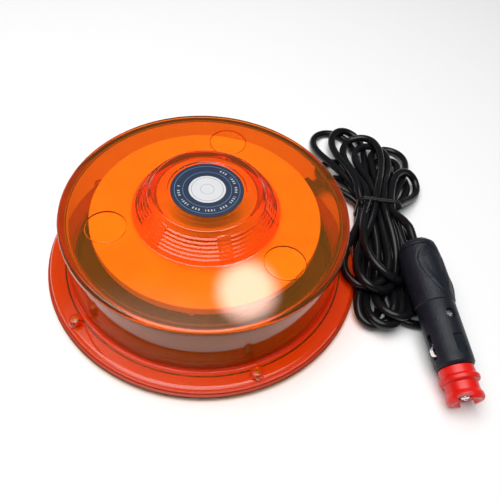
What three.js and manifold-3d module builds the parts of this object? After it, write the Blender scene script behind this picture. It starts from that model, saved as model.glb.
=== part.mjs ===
// A low magnetic LED beacon: an amber cover on a black base, with a folded lead and a 12/24 V plug.
// Millimetres, +Z up, origin on the floor under the centre of the cover.
import * as THREE from "three";
import { mergeVertices } from "three/addons/utils/BufferGeometryUtils.js";
import Module from "manifold-3d";

const wasm = await Module();
wasm.setup();

// ---------------------------------------------------------------- driving dimensions
const gap = 0.3; // clearance between separate pieces
const turn = 2 * Math.PI;
const degree = Math.PI / 180;

// cover
const coverWallRadius = 74.4;
const flangeWidth = 12.4;
const rimOverhang = 0.6;
const coverTopHeight = 45;
const coverWall = 2.6;
const rimHeight = 4.6;
const rimFillet = 4;
const flangeThickness = 3.2;
const skirtWall = 2.3;
const hubBaseRadius = 37.5;
const hubShoulderRadius = 28.8;
const hubHeight = 13;
const hubSteps = 5;
const hubWebCount = 6;
const hubWebWidth = 7;
const hubWebAngle = -6.5 * degree;
const recessRadius = 10.5;
const recessDepth = 0.5;
const recessCircle = 52;
const recessAngle = 85 * degree;
const bossRadius = 3.6;
const bossInset = 6.1; // from the flange edge to a screw
const bossRise = 4.2;
const screwCount = 5;
const screwAngle = -63.5 * degree;

// label
const labelRadius = 18.4;
const labelMargin = 1.1;
const labelThickness = 0.3;
const labelSeatDepth = 0.5;

// base, magnets and seal
const footThickness = 2;
const footInset = 0.8;
const baseThickness = 3.4;
const spigotHeight = 6.5;
const spigotWall = 2;
const magnetRadius = 17.8;
const magnetThickness = 6.6;
const keeperThickness = 1.5;
const magnetCircle = 38;
const magnetAngle = 105 * degree;
const cupWall = 1.5;
const gasketOutset = 2.4; // from the cover wall to the middle of the gasket
const gasketWidth = 1.8;
const gasketHeight = 1.9;
const screwRadius = 1.4;
const screwHeadRadius = 2.6;
const screwHeadHeight = 1.6;
const postRadius = 4.5;
const postCircle = 16;
const postHeight = 8.4;

// heat sink, LEDs, reflector and driver
const sinkApothem = 47;
const sinkWall = 3;
const sinkFloor = 2;
const reflectorInset = 14.4; // from the cover wall to the edge of the reflector
const reflectorThickness = 2;
const reflectorSkirt = 3;
const reflectorHeadroom = 1.8;
const ledBoardWidth = 44;
const ledBoardHeight = 18;
const ledBoardThickness = 1.6;
const ledCount = 3;
const ledSpacing = 14;
const ledSize = 5;
const driverRadius = 36;
const driverThickness = 1.6;
const standoffHeight = 4.2;
const standoffCircle = 30;
const smallScrewRadius = 1.2;
const smallHeadRadius = 2.4;
const smallHeadHeight = 1.8;

// lead
const leadRadius = 2.4;
const glandAngle = 45 * degree;
const glandWall = 0.9;
const glandHeadStep = 1.1;
const glandTail = 10;
const housingWidth = 12;
const housingLength = 8.4; // how far it reaches inside the cover wall
const housingInset = 0.6;

// plug: its axis runs from the tip to the rear, and z in its own frame is the distance from the tip
const barrelRadius = 10.2;
const gripStep = 1.4;
const plugTip = new THREE.Vector3(138.7, -73.5, barrelRadius - 0.7);
const plugRear = new THREE.Vector3(116.6, 17.9, barrelRadius + 10.6);
const plugRoll = 11 * degree;
const adapterLength = 17.2;
const adapterSlotAngle = -39 * degree;
const barrelEnd = 52;
const gripEnd = 85.5;
const capLength = 6.2;
const shellWall = 1.9;
const noseRadius = 6;
const noseStart = 4.2;
const noseEnd = 38.6;
const fuseRadius = 2.6;
const fuseLength = 20;
const fuseCapLength = 5;
const tipRadius = 2.4;
const tipFlangeRadius = 3.1;
const tipReach = 3;
const plugScrewPlace = 43.6;
const plugScrewLength = 14;
const thumbPlace = 70;
const thumbDepth = 1.6;
const thumbCurve = 70;
const contactPlace = 26.2;
const contactWidth = 2.4;
const contactThickness = 0.5;
const contactProud = 1.1;
const springTurns = 4;

// heights and radii that follow
const coverFlangeRadius = coverWallRadius + flangeWidth;
const coverRimRadius = coverWallRadius + rimOverhang;
const bossCircle = coverFlangeRadius - bossInset;
const gasketRadius = coverWallRadius + gasketOutset;
const reflectorRadius = coverWallRadius - reflectorInset;
const housingInner = coverWallRadius - housingLength;
const baseTop = footThickness + baseThickness;
const flangeTop = baseTop + flangeThickness;
const skirtInner = coverFlangeRadius - skirtWall;
const baseRadius = skirtInner - gap;
const coverInner = coverWallRadius - coverWall;
const ceiling = coverTopHeight - coverWall;
const hubTop = coverTopHeight + hubHeight;
const seatHeight = hubTop - labelSeatDepth;
const reflectorTop = ceiling - reflectorHeadroom;
const sinkTop = reflectorTop - reflectorThickness;
const sinkBottom = baseTop + postHeight;
const driverBottom = sinkBottom + sinkFloor + standoffHeight;
const driverTop = driverBottom + driverThickness;
const housingOuter = coverFlangeRadius - housingInset;
const glandHeight = baseTop + leadRadius + 0.4;
const glandRadius = leadRadius + glandWall;
const glandHeadRadius = glandRadius + glandHeadStep;
const housingTop = glandHeight + glandRadius + gap + 1.5;
const gripRadius = barrelRadius + gripStep;
// keeps the hank and the plug beside a wider cover
const hankShift = new THREE.Vector3(1.12, 0.7, 0).multiplyScalar(coverFlangeRadius - 86.8);
const leadPassage = leadRadius + gap + 0.2;

// ---------------------------------------------------------------- solids
// A closed geometry as a solid, with its doubled vertices merged and its flat slivers left out.
function solid(geometry) {
  const loose = geometry.index ? geometry.toNonIndexed() : geometry;
  const bare = new THREE.BufferGeometry();
  bare.setAttribute("position", loose.getAttribute("position"));
  const merged = mergeVertices(bare, 1e-4);
  const kept = [];
  const index = merged.index.array;
  for (let i = 0; i < index.length; i += 3) {
    const [a, b, c] = [index[i], index[i + 1], index[i + 2]];
    if (a !== b && b !== c && c !== a) kept.push(a, b, c);
  }
  return new wasm.Manifold(
    new wasm.Mesh({
      numProp: 3,
      vertProperties: merged.getAttribute("position").array,
      triVerts: new Uint32Array(kept),
    }),
  );
}

function joined(solids) {
  return solids.reduce((whole, piece) => whole.add(piece));
}

function cut(body, tools) {
  return tools.reduce((rest, tool) => rest.subtract(tool), body);
}

// A profile of [radius, height] points, turned about Z. It runs up the outside and down the inside.
function turnedGeometry(profile, sides = 40) {
  const points = profile.map(([r, z]) => new THREE.Vector2(r, z));
  return new THREE.LatheGeometry(points, sides).rotateX(Math.PI / 2);
}

function turned(profile, sides) {
  return solid(turnedGeometry(profile, sides));
}

// A profile that closes on itself, off the axis.
function ring(profile, sides) {
  return turned([...profile, profile[0]], sides);
}

function rodGeometry(radius, low, high, sides = 24) {
  const rod = new THREE.CylinderGeometry(radius, radius, high - low, sides);
  return rod.rotateX(Math.PI / 2).translate(0, 0, (low + high) / 2);
}

function rod(radius, low, high, x = 0, y = 0, sides = 24) {
  return solid(rodGeometry(radius, low, high, sides).translate(x, y, 0));
}

function blockGeometry(low, high) {
  const size = high.map((value, axis) => value - low[axis]);
  const middle = high.map((value, axis) => (value + low[axis]) / 2);
  return new THREE.BoxGeometry(...size).translate(...middle);
}

function block(low, high, angle = 0) {
  return solid(blockGeometry(low, high).rotateZ(angle));
}

// A flat outline of [x, y] points, raised from one height to another.
function slabGeometry(outline, low, high) {
  const shape = new THREE.Shape(outline.map(([x, y]) => new THREE.Vector2(x, y)));
  const options = { depth: high - low, bevelEnabled: false };
  return new THREE.ExtrudeGeometry(shape, options).translate(0, 0, low);
}

function polygon(radius, sides, angle = 0) {
  return Array.from({ length: sides }, (unused, i) => {
    const at = angle + (i * turn) / sides;
    return [radius * Math.cos(at), radius * Math.sin(at)];
  });
}

// A round tube along a smooth curve through the points.
function tube(points, radius, steps, sides = 10) {
  const curve = new THREE.CatmullRomCurve3(points.map((p) => new THREE.Vector3(...p)));
  return tubeAlong(curve, radius, steps, sides);
}

function tubeAlong(curve, radius, steps, sides) {
  const outline = polygon(radius, sides).map(([x, y]) => new THREE.Vector2(x, y));
  const options = { steps, extrudePath: curve, bevelEnabled: false };
  return solid(new THREE.ExtrudeGeometry(new THREE.Shape(outline), options));
}

// Places on a circle, evenly spaced from a first angle.
function around(count, radius, first) {
  return Array.from({ length: count }, (unused, i) => {
    const angle = first + (i * turn) / count;
    return { angle, x: radius * Math.cos(angle), y: radius * Math.sin(angle) };
  });
}

// ---------------------------------------------------------------- nodes
const looks = {
  amber: { color: 0xf0820f, roughness: 0.08, metalness: 0 },
  black: { color: 0x17171a, roughness: 0.45, metalness: 0 },
  rubber: { color: 0x101012, roughness: 0.8, metalness: 0 },
  cable: { color: 0x0c0c0e, roughness: 0.25, metalness: 0 },
  plug: { color: 0x1f2430, roughness: 0.55, metalness: 0 },
  red: { color: 0xd5140f, roughness: 0.35, metalness: 0 },
  white: { color: 0xf2f1ec, roughness: 0.4, metalness: 0 },
  label: { color: 0x232a38, roughness: 0.5, metalness: 0 },
  steel: { color: 0xb8bbc0, roughness: 0.3, metalness: 1 },
  magnet: { color: 0x3a3a3c, roughness: 0.5, metalness: 0.3 },
  aluminium: { color: 0xc4c7ca, roughness: 0.4, metalness: 1 },
  circuit: { color: 0x1c3a2a, roughness: 0.5, metalness: 0 },
  seal: { color: 0x55575a, roughness: 0.8, metalness: 0 },
};

function node(parent, name, body, look) {
  const made = body.getMesh();
  const geometry = new THREE.BufferGeometry();
  geometry.setAttribute("position", new THREE.BufferAttribute(made.vertProperties, 3));
  geometry.setIndex(new THREE.BufferAttribute(made.triVerts, 1));
  geometry.computeVertexNormals();
  const mesh = new THREE.Mesh(geometry, new THREE.MeshStandardMaterial(looks[look]));
  mesh.name = name;
  parent.add(mesh);
  return mesh;
}

const beacon = new THREE.Group();
const screwPlaces = around(screwCount, bossCircle, screwAngle);
const magnetPlaces = around(3, magnetCircle, magnetAngle);
const postPlaces = around(3, postCircle, glandAngle);
const standoffPlaces = around(3, standoffCircle, magnetAngle);

// ---------------------------------------------------------------- cover
function hubProfile() {
  const [rise, run] = [(hubHeight - 3.4) / hubSteps, (hubBaseRadius - hubShoulderRadius - 1.5) / hubSteps];
  const points = [];
  for (let step = 0; step < hubSteps; step += 1) {
    const radius = hubBaseRadius - step * run;
    const height = coverTopHeight + 1.2 + step * rise;
    points.push([radius, height], [radius - 0.15, height + rise - 0.35]);
  }
  return points;
}

function coverShell() {
  const rimCentre = coverRimRadius - rimFillet;
  const rimArc = [0, 30, 60, 90].map((at) => [
    rimCentre + rimFillet * Math.cos(at * degree),
    coverTopHeight - rimFillet + rimFillet * Math.sin(at * degree),
  ]);
  const seatRadius = labelRadius + labelMargin;
  return turned([
    [skirtInner, footThickness],
    [coverFlangeRadius, footThickness],
    [coverFlangeRadius, footThickness + 2.2],
    [coverFlangeRadius - 1.5, footThickness + 2.7],
    [coverFlangeRadius - 1.9, flangeTop - 1],
    [coverFlangeRadius - 2.9, flangeTop],
    [coverWallRadius + 1.2, flangeTop],
    [coverWallRadius, flangeTop + 1.2],
    [coverWallRadius, coverTopHeight - rimHeight],
    [coverRimRadius, coverTopHeight - rimHeight + 0.4],
    ...rimArc,
    [hubBaseRadius + 1.2, coverTopHeight],
    ...hubProfile(),
    [hubShoulderRadius + 0.8, hubTop - 1.8],
    [hubShoulderRadius - 1, hubTop],
    [seatRadius + 0.3, hubTop],
    [seatRadius, seatHeight],
    [0, seatHeight],
    [0, seatHeight - coverWall],
    [hubShoulderRadius - coverWall - 1, seatHeight - coverWall],
    [hubBaseRadius - coverWall + 0.6, ceiling],
    [coverInner - 2, ceiling],
    [coverInner, ceiling - 2],
    [coverInner, baseTop],
    [skirtInner, baseTop],
    [skirtInner, footThickness],
  ]);
}

// A web that stands over the hub's steps, from its foot to its shoulder.
function hubWeb(angle) {
  const [foot, top] = [coverTopHeight + 0.4, hubTop - 1.8];
  const outline = [
    [hubBaseRadius - 1.2, foot],
    [hubBaseRadius + 0.6, foot],
    [hubShoulderRadius + 1.6, top],
    [hubShoulderRadius + 0.2, top],
  ];
  const web = slabGeometry(outline, -hubWebWidth / 2, hubWebWidth / 2);
  return solid(web.rotateX(Math.PI / 2).rotateZ(angle));
}

function screwBoss({ x, y }) {
  const top = flangeTop + bossRise;
  const boss = turnedGeometry(
    [
      [0, baseTop],
      [bossRadius, baseTop],
      [bossRadius, top - 1.4],
      [bossRadius - 1, top - 0.3],
      [bossRadius - 2.2, top],
      [0, top],
    ],
    16,
  );
  return solid(boss.translate(x, y, 0));
}

// The housing for the lead's gland stands in a notch in the cover.
function housing(side) {
  const half = housingWidth / 2 + side;
  const reach = side ? coverFlangeRadius + 4 : housingOuter;
  return block([housingInner, -half, footThickness], [reach, half, housingTop + side], glandAngle);
}

function screwHole({ x, y }) {
  return rod(screwRadius + gap, footThickness - 1, flangeTop + bossRise - 1.2, x, y, 8);
}

const cover = cut(
  joined([
    coverShell(),
    ...screwPlaces.map(screwBoss),
    ...around(hubWebCount, 0, hubWebAngle).map(({ angle }) => hubWeb(angle)),
  ]),
  [
    ...screwPlaces.map(screwHole),
    ...around(3, recessCircle, recessAngle).map(({ x, y }) =>
      rod(recessRadius, coverTopHeight - recessDepth, hubTop, x, y, 24),
    ),
    housing(gap),
  ],
);
node(beacon, "lens_cover", cover, "amber");
node(beacon, "hub_label", rod(labelRadius, seatHeight, seatHeight + labelThickness, 0, 0, 40), "label");

// ---------------------------------------------------------------- base
const pocketTop = footThickness + magnetThickness + keeperThickness + gap;

function basePlate() {
  const spigotOuter = coverInner - gap;
  const grooveBottom = baseTop - gasketHeight - gap;
  const disc = turned([
    [0, footThickness],
    [baseRadius, footThickness],
    [baseRadius, baseTop],
    [gasketRadius + gasketWidth / 2 + gap, baseTop],
    [gasketRadius + gasketWidth / 2 + gap, grooveBottom],
    [gasketRadius - gasketWidth / 2 - gap, grooveBottom],
    [gasketRadius - gasketWidth / 2 - gap, baseTop],
    [spigotOuter, baseTop],
    [spigotOuter, baseTop + spigotHeight],
    [spigotOuter - spigotWall, baseTop + spigotHeight],
    [spigotOuter - spigotWall, baseTop],
    [0, baseTop],
  ]);
  const cups = magnetPlaces.map(({ x, y }) =>
    rod(magnetRadius + gap + cupWall, footThickness, pocketTop + cupWall, x, y, 24),
  );
  const posts = postPlaces.map(({ x, y }) => rod(postRadius, footThickness, sinkBottom, x, y, 8));
  const pockets = magnetPlaces.map(({ x, y }) =>
    rod(magnetRadius + gap, footThickness - 1, pocketTop, x, y, 24),
  );
  const headHoles = screwPlaces.map(({ x, y }) =>
    rod(screwHeadRadius + gap, footThickness - 1, footThickness + screwHeadHeight, x, y, 8),
  );
  const postHoles = postPlaces.map(({ x, y }) =>
    rod(smallScrewRadius + gap, baseTop, sinkBottom + 1, x, y, 8),
  );
  const bore = rodGeometry(glandRadius + gap, housingInner - 1, housingOuter + 1, 20);
  bore.rotateY(Math.PI / 2).translate(0, 0, glandHeight).rotateZ(glandAngle);
  return cut(joined([disc, ...cups, ...posts, housing(0)]), [
    ...pockets,
    ...screwPlaces.map(screwHole),
    ...headHoles,
    ...postHoles,
    solid(bore),
  ]);
}
node(beacon, "base_plate", basePlate(), "black");

const footRadius = coverFlangeRadius - footInset;
node(
  beacon,
  "foot_pad",
  turned([
    [0, 0],
    [footRadius - 0.6, 0],
    [footRadius, 0.6],
    [footRadius, footThickness],
    [0, footThickness],
  ]),
  "rubber",
);

magnetPlaces.forEach(({ x, y }, i) => {
  const top = footThickness + magnetThickness;
  node(beacon, `magnet_${i + 1}`, rod(magnetRadius, footThickness, top, x, y, 24), "magnet");
  const keeper = rod(magnetRadius, top, top + keeperThickness, x, y, 24);
  node(beacon, `magnet_keeper_${i + 1}`, keeper, "steel");
});

// The seal stops on both sides of the gland's housing, which a sealant closes.
const gasket = ring([
  [gasketRadius - gasketWidth / 2, baseTop - gasketHeight],
  [gasketRadius + gasketWidth / 2, baseTop - gasketHeight],
  [gasketRadius + gasketWidth / 2, baseTop],
  [gasketRadius - gasketWidth / 2, baseTop],
]);
node(beacon, "lens_gasket", cut(gasket, [housing(gap)]), "seal");

// A screw with its head at one end of its shank; a cross recess is cut in the head.
function screw(shank, head, headHeight, length) {
  const body = turned(
    [
      [0, 0],
      [head, 0],
      [head, headHeight],
      [shank, headHeight],
      [shank, length - 0.6],
      [shank - 0.5, length],
      [0, length],
    ],
    8,
  );
  const slot = [head * 0.6, head * 0.16, headHeight * 0.6];
  const first = block([-slot[0], -slot[1], -1], [slot[0], slot[1], slot[2]]);
  const second = block([-slot[1], -slot[0], -1], [slot[1], slot[0], slot[2]]);
  return cut(body, [first, second]);
}

const coverScrewLength = flangeTop + bossRise - 1.2 - gap - footThickness;
screwPlaces.forEach(({ x, y, angle }, i) => {
  const body = screw(screwRadius, screwHeadRadius, screwHeadHeight, coverScrewLength);
  const piece = node(beacon, `cover_screw_${i + 1}`, body, "steel");
  piece.position.set(x, y, footThickness);
  piece.rotation.z = angle;
});

// ---------------------------------------------------------------- heat sink and LEDs
const sinkCorner = (apothem) => polygon(apothem / Math.cos(Math.PI / 6), 6, glandAngle);

function heatSink() {
  const outside = solid(slabGeometry(sinkCorner(sinkApothem), sinkBottom, sinkTop));
  const inside = solid(
    slabGeometry(sinkCorner(sinkApothem - sinkWall), sinkBottom + sinkFloor, sinkTop + 1),
  );
  const standoffs = standoffPlaces.map(({ x, y }) => rod(3.5, sinkBottom, driverBottom, x, y, 12));
  const floorHoles = postPlaces.map(({ x, y }) =>
    rod(smallScrewRadius + gap, sinkBottom - 1, sinkTop, x, y, 8),
  );
  const standoffHoles = standoffPlaces.map(({ x, y }) =>
    rod(smallScrewRadius + gap, sinkBottom + 1, sinkTop, x, y, 8),
  );
  const [leadAway] = around(1, standoffCircle, glandAngle);
  const leadHole = rod(leadRadius + 1.6, sinkBottom - 1, sinkTop, leadAway.x, leadAway.y, 16);
  return cut(joined([cut(outside, [inside]), ...standoffs]), [
    ...floorHoles,
    ...standoffHoles,
    leadHole,
  ]);
}
node(beacon, "heat_sink", heatSink(), "aluminium");

postPlaces.forEach(({ x, y }, i) => {
  const length = smallHeadHeight + sinkFloor + 5;
  const body = screw(smallScrewRadius, smallHeadRadius, smallHeadHeight, length);
  const piece = node(beacon, `heat_sink_screw_${i + 1}`, body, "steel");
  piece.rotation.x = Math.PI;
  piece.position.set(x, y, sinkBottom + sinkFloor + smallHeadHeight);
});

function ledBoard() {
  const [width, height] = [ledBoardWidth / 2, ledBoardHeight / 2];
  const board = block([0, -width, -height], [ledBoardThickness, width, height]);
  const leds = [];
  for (let i = 0; i < ledCount; i += 1) {
    const y = (i - (ledCount - 1) / 2) * ledSpacing;
    const half = ledSize / 2;
    const package_ = block([0.5, y - half, -half], [ledBoardThickness + 1.2, y + half, half]);
    const dome = turnedGeometry(
      [
        [0, 0],
        [2, 0],
        [2, ledBoardThickness + 1.8],
        [0, ledBoardThickness + 3],
      ],
      8,
    );
    leds.push(package_, solid(dome.rotateY(Math.PI / 2).translate(0.5, y, 0)));
  }
  return joined([board, ...leds]);
}

around(6, sinkApothem, glandAngle + Math.PI / 6).forEach(({ x, y, angle }, i) => {
  const board = node(beacon, `led_board_${i + 1}`, ledBoard(), "circuit");
  const outward = new THREE.Vector3(Math.cos(angle), Math.sin(angle), 0).multiplyScalar(gap);
  board.position.set(x, y, (sinkBottom + sinkTop - reflectorSkirt) / 2).add(outward);
  board.rotation.z = angle;
});

node(
  beacon,
  "reflector_disc",
  turned([
    [0, sinkTop],
    [reflectorRadius - 1.8, sinkTop],
    [reflectorRadius - 1.8, sinkTop - reflectorSkirt],
    [reflectorRadius, sinkTop - reflectorSkirt],
    [reflectorRadius, reflectorTop - 0.6],
    [reflectorRadius - 0.6, reflectorTop],
    [0, reflectorTop],
  ]),
  "white",
);

// ---------------------------------------------------------------- driver
const driver = cut(rod(driverRadius, driverBottom, driverTop, 0, 0, 32), [
  ...standoffPlaces.map(({ x, y }) =>
    rod(smallScrewRadius + gap, driverBottom - 1, driverTop + 1, x, y, 8),
  ),
]);
node(beacon, "driver_board", driver, "circuit");

standoffPlaces.forEach(({ x, y }, i) => {
  const length = smallHeadHeight + driverThickness + standoffHeight - 1;
  const body = screw(smallScrewRadius, smallHeadRadius, smallHeadHeight, length);
  const piece = node(beacon, `board_screw_${i + 1}`, body, "steel");
  piece.rotation.x = Math.PI;
  piece.position.set(x, y, driverTop + smallHeadHeight);
});

node(beacon, "choke", rod(6, driverTop, driverTop + 9, -12, 8, 16), "magnet");
node(beacon, "capacitor", rod(5, driverTop, driverTop + 12, 10, -10, 20), "black");
node(beacon, "driver_chip", block([-13, -13, driverTop], [-7, -5, driverTop + 1.6]), "black");

// ---------------------------------------------------------------- gland and lead
const glandFace = housingOuter + 0.2;
const glandTip = glandFace + 2 + glandTail;
const outward = new THREE.Vector3(Math.cos(glandAngle), Math.sin(glandAngle), 0);

function onGlandLine(distance) {
  return [outward.x * distance, outward.y * distance, glandHeight];
}

const glandProfile = [
  [0, housingInner + 0.5],
  [glandRadius, housingInner + 0.5],
  [glandRadius, glandFace],
  [glandHeadRadius, glandFace],
  [glandHeadRadius, glandFace + 1.6],
  [glandRadius + 0.5, glandFace + 2],
  [leadRadius + 0.6, glandTip],
  [0, glandTip],
];
const gland = turnedGeometry(glandProfile, 16).rotateY(Math.PI / 2);
gland.rotateX(Math.PI / 2).translate(0, 0, glandHeight).rotateZ(glandAngle);
node(beacon, "cable_gland", solid(gland), "rubber");

const [leadHoleAt] = around(1, standoffCircle, glandAngle);
const innerRoute = [
  onGlandLine(housingInner + 0.5 - gap),
  onGlandLine(housingInner - 14),
  onGlandLine(standoffCircle + 13),
  onGlandLine(standoffCircle + 7),
  [leadHoleAt.x + 1, leadHoleAt.y + 1, glandHeight + 3.4],
  [leadHoleAt.x, leadHoleAt.y, sinkBottom + 1],
  [leadHoleAt.x, leadHoleAt.y, driverBottom - gap],
];
node(beacon, "inner_lead", tube(innerRoute, leadRadius, 12, 8), "cable");

function besideCover([x, y, z]) {
  return [x + hankShift.x, y + hankShift.y, z];
}

const leadRoute = [
  onGlandLine(glandTip + gap),
  onGlandLine(glandTip + gap + 2),
  ...[
    [75.6, 74.2, leadRadius + 4],
    [80.6, 74.6, leadRadius + 1.8],
    [85.2, 71.8, leadRadius + 0.5],
    [88.2, 66.4, leadRadius + 0.2],
    [89.6, 60.4, leadRadius + 0.2],
  ].map(besideCover),
];

// ---------------------------------------------------------------- plug
const rearward = new THREE.Vector3().subVectors(plugRear, plugTip).normalize();
const upward = new THREE.Vector3(0, 0, 1);
const screwSide = upward.clone().addScaledVector(rearward, -upward.dot(rearward)).normalize();
screwSide.applyAxisAngle(rearward, plugRoll);
const contactSide = new THREE.Vector3().crossVectors(rearward, screwSide);
const plugFrame = new THREE.Matrix4().makeBasis(screwSide, contactSide, rearward);
plugFrame.setPosition(plugTip.clone().add(hankShift));
const plug = new THREE.Group();
plug.applyMatrix4(plugFrame);
beacon.add(plug);

const barrelStart = adapterLength + gap;
const collar = { low: barrelStart + 2, high: barrelStart + 4, radius: noseRadius + 1.4 };
const plugEnd = gripEnd + gap + capLength;

function plugOutline(grow = 0) {
  return [
    [barrelRadius - 1 + grow, barrelStart],
    [barrelRadius + grow, barrelStart + 1.6],
    [barrelRadius + grow, barrelEnd - 0.2],
    [gripRadius - 0.7 + grow, barrelEnd + 0.2],
    [gripRadius + grow, barrelEnd + 12],
    [gripRadius - 0.1 + grow, gripEnd - 9],
    [gripRadius - 1 + grow, gripEnd],
  ];
}

function plugShells() {
  const hollow = barrelRadius - shellWall;
  const boss = rodGeometry(3.4, -hollow - 0.5, hollow + 0.5, 16).rotateY(Math.PI / 2);
  const body = turned([[0, barrelStart], ...plugOutline(), [0, gripEnd]], 28);
  const inside = turned(
    [
      [0, barrelStart - 1],
      [noseRadius + gap, barrelStart - 1],
      [noseRadius + gap, collar.low - gap],
      [collar.radius + gap, collar.low - gap],
      [collar.radius + gap, collar.high + gap],
      [noseRadius + gap, collar.high + gap],
      [noseRadius + gap, collar.high + 1.4],
      [hollow, collar.high + 1.4],
      [hollow, gripEnd - 3],
      [leadRadius + gap, gripEnd - 1.6],
      [leadRadius + gap, gripEnd + 1],
      [0, gripEnd + 1],
    ],
    20,
  );
  const thumb = rodGeometry(thumbCurve, -20, 20, 40).rotateX(Math.PI / 2);
  const thumbAway = gripRadius - thumbDepth + thumbCurve;
  const slotHalf = contactWidth / 2 + gap;
  const slots = block(
    [-slotHalf, -20, contactPlace - 4.2],
    [slotHalf, 20, contactPlace + 9],
  );
  const hole = rodGeometry(smallScrewRadius + gap, -hollow, 20, 12).rotateY(Math.PI / 2);
  const headHole = rodGeometry(smallHeadRadius + gap, hollow - 1.6, 20, 16).rotateY(Math.PI / 2);
  const arrow = block([barrelRadius - 0.7, -2.6, contactPlace - 5], [20, 2.6, contactPlace + 7]);
  return cut(
    joined([cut(body, [inside]), solid(boss.translate(0, 0, plugScrewPlace))]),
    [
      solid(thumb.clone().translate(thumbAway, 0, thumbPlace)),
      solid(thumb.translate(-thumbAway, 0, thumbPlace)),
      slots,
      arrow,
      solid(hole.translate(0, 0, plugScrewPlace)),
      solid(headHole.translate(0, 0, plugScrewPlace)),
    ],
  );
}

const shells = plugShells();
const half = gap / 2;
const topSide = block([half, -20, 0], [20, 20, 120]);
const bottomSide = block([-20, -20, 0], [-half, 20, 120]);
node(plug, "plug_shell_top", shells.intersect(topSide), "plug");
node(plug, "plug_shell_bottom", shells.intersect(bottomSide), "plug");

const capProfile = [
  [leadRadius + gap, gripEnd + gap],
  [gripRadius - 1.1, gripEnd + gap],
  [gripRadius - 2, gripEnd + capLength - 3.4],
  [gripRadius - 4, gripEnd + capLength - 1.4],
  [gripRadius - 6.4, plugEnd - 0.3],
  [gripRadius - 7.6, plugEnd],
  [leadRadius + gap, plugEnd],
];
node(plug, "plug_rear_cap", ring(capProfile, 28), "plug");

const plugScrew = node(
  plug,
  "plug_screw",
  screw(smallScrewRadius, smallHeadRadius, smallHeadHeight, plugScrewLength),
  "steel",
);
plugScrew.rotation.y = -Math.PI / 2;
plugScrew.position.set(barrelRadius - 1.4, 0, plugScrewPlace);

const sleeve = ring(
  [
    [tipRadius + gap, noseStart],
    [noseRadius - 0.8, noseStart],
    [noseRadius, noseStart + 0.8],
    [noseRadius, collar.low],
    [collar.radius, collar.low],
    [collar.radius, collar.high],
    [noseRadius, collar.high],
    [noseRadius, noseEnd],
    [1, noseEnd],
    [1, noseEnd - 1.2],
    [tipFlangeRadius + gap, noseEnd - 1.2],
    [tipFlangeRadius + gap, noseStart + 1],
    [tipRadius + gap, noseStart + 1],
  ],
  20,
);
node(plug, "nose_sleeve", sleeve, "black");

const tipStart = noseStart - tipReach;
const tipFlange = noseStart + 1 + gap;
const tip = turned(
  [
    [0, tipStart],
    [tipRadius - 1, tipStart],
    [tipRadius, tipStart + 1],
    [tipRadius, tipFlange],
    [tipFlangeRadius, tipFlange],
    [tipFlangeRadius, tipFlange + 1.2],
    [0, tipFlange + 1.2],
  ],
  20,
);
node(plug, "tip_contact", tip, "steel");

const fuseStart = tipFlange + 1.2 + gap;
const fuseEnd = fuseStart + fuseLength;
const fuse = turned(
  [
    [0, fuseStart],
    [fuseRadius, fuseStart],
    [fuseRadius, fuseStart + fuseCapLength],
    [fuseRadius - 0.3, fuseStart + fuseCapLength + 0.2],
    [fuseRadius - 0.3, fuseEnd - fuseCapLength - 0.2],
    [fuseRadius, fuseEnd - fuseCapLength],
    [fuseRadius, fuseEnd],
    [0, fuseEnd],
  ],
  20,
);
node(plug, "fuse", fuse, "steel");

// A plain coil of even pitch about Z.
class Helix extends THREE.Curve {
  constructor(radius, low, high, turns) {
    super();
    Object.assign(this, { radius, low, high, turns });
  }
  getPoint(t, target = new THREE.Vector3()) {
    const angle = t * this.turns * turn;
    const z = this.low + (this.high - this.low) * t;
    return target.set(this.radius * Math.cos(angle), this.radius * Math.sin(angle), z);
  }
}
const springWire = 0.35;
const spring = new Helix(
  fuseRadius - springWire - 0.2,
  fuseEnd + gap + springWire,
  noseEnd - 1.2 - gap - springWire,
  springTurns,
);
node(plug, "tip_spring", tubeAlong(spring, springWire, springTurns * 10, 5), "steel");

// A leaf in the plane of the plug's axis: [distance out, distance from the tip].
function contactLeaf(side) {
  const peak = barrelRadius + contactProud;
  const inner = barrelRadius - shellWall - 0.5;
  const back = [
    [inner, contactPlace + 12],
    [inner, contactPlace + 8],
    [peak - 1.6, contactPlace + 3],
    [peak, contactPlace + 0.8],
    [peak - 0.2, contactPlace - 1.6],
    [inner + 0.4, contactPlace - 3.6],
  ];
  const front = back.map(([out, along]) => [out - contactThickness, along]).reverse();
  const strip = slabGeometry([...back, ...front], -contactWidth / 2, contactWidth / 2);
  const stand = new THREE.Matrix4().makeBasis(
    new THREE.Vector3(0, side, 0),
    new THREE.Vector3(0, 0, 1),
    new THREE.Vector3(side, 0, 0),
  );
  return solid(strip.applyMatrix4(stand));
}
node(plug, "side_contact_right", contactLeaf(1), "steel");
node(plug, "side_contact_left", contactLeaf(-1), "steel");

const adapterSlot = solid(blockGeometry([-12, -3.4, -1], [12, 3.4, 2.6]).rotateZ(adapterSlotAngle));
const adapter = cut(
  ring(
    [
      [tipRadius + 1, noseStart - gap],
      [tipRadius + 1, 2.4],
      [barrelRadius - 3.6, 0],
      [barrelRadius - 1.8, 0],
      [barrelRadius - 1, 1],
      [barrelRadius - 1, 3],
      [barrelRadius - 1.9, 5],
      [barrelRadius - 1.9, 9],
      [barrelRadius - 0.5, 10.2],
      [barrelRadius - 0.1, 11.2],
      [barrelRadius - 0.5, 12.2],
      [barrelRadius - 1.4, 13.2],
      [barrelRadius - 1.4, adapterLength],
      [noseRadius + gap, adapterLength],
      [noseRadius + gap, noseStart - gap],
    ],
    24,
  ),
  [adapterSlot],
);
node(plug, "adapter", adapter, "red");

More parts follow.
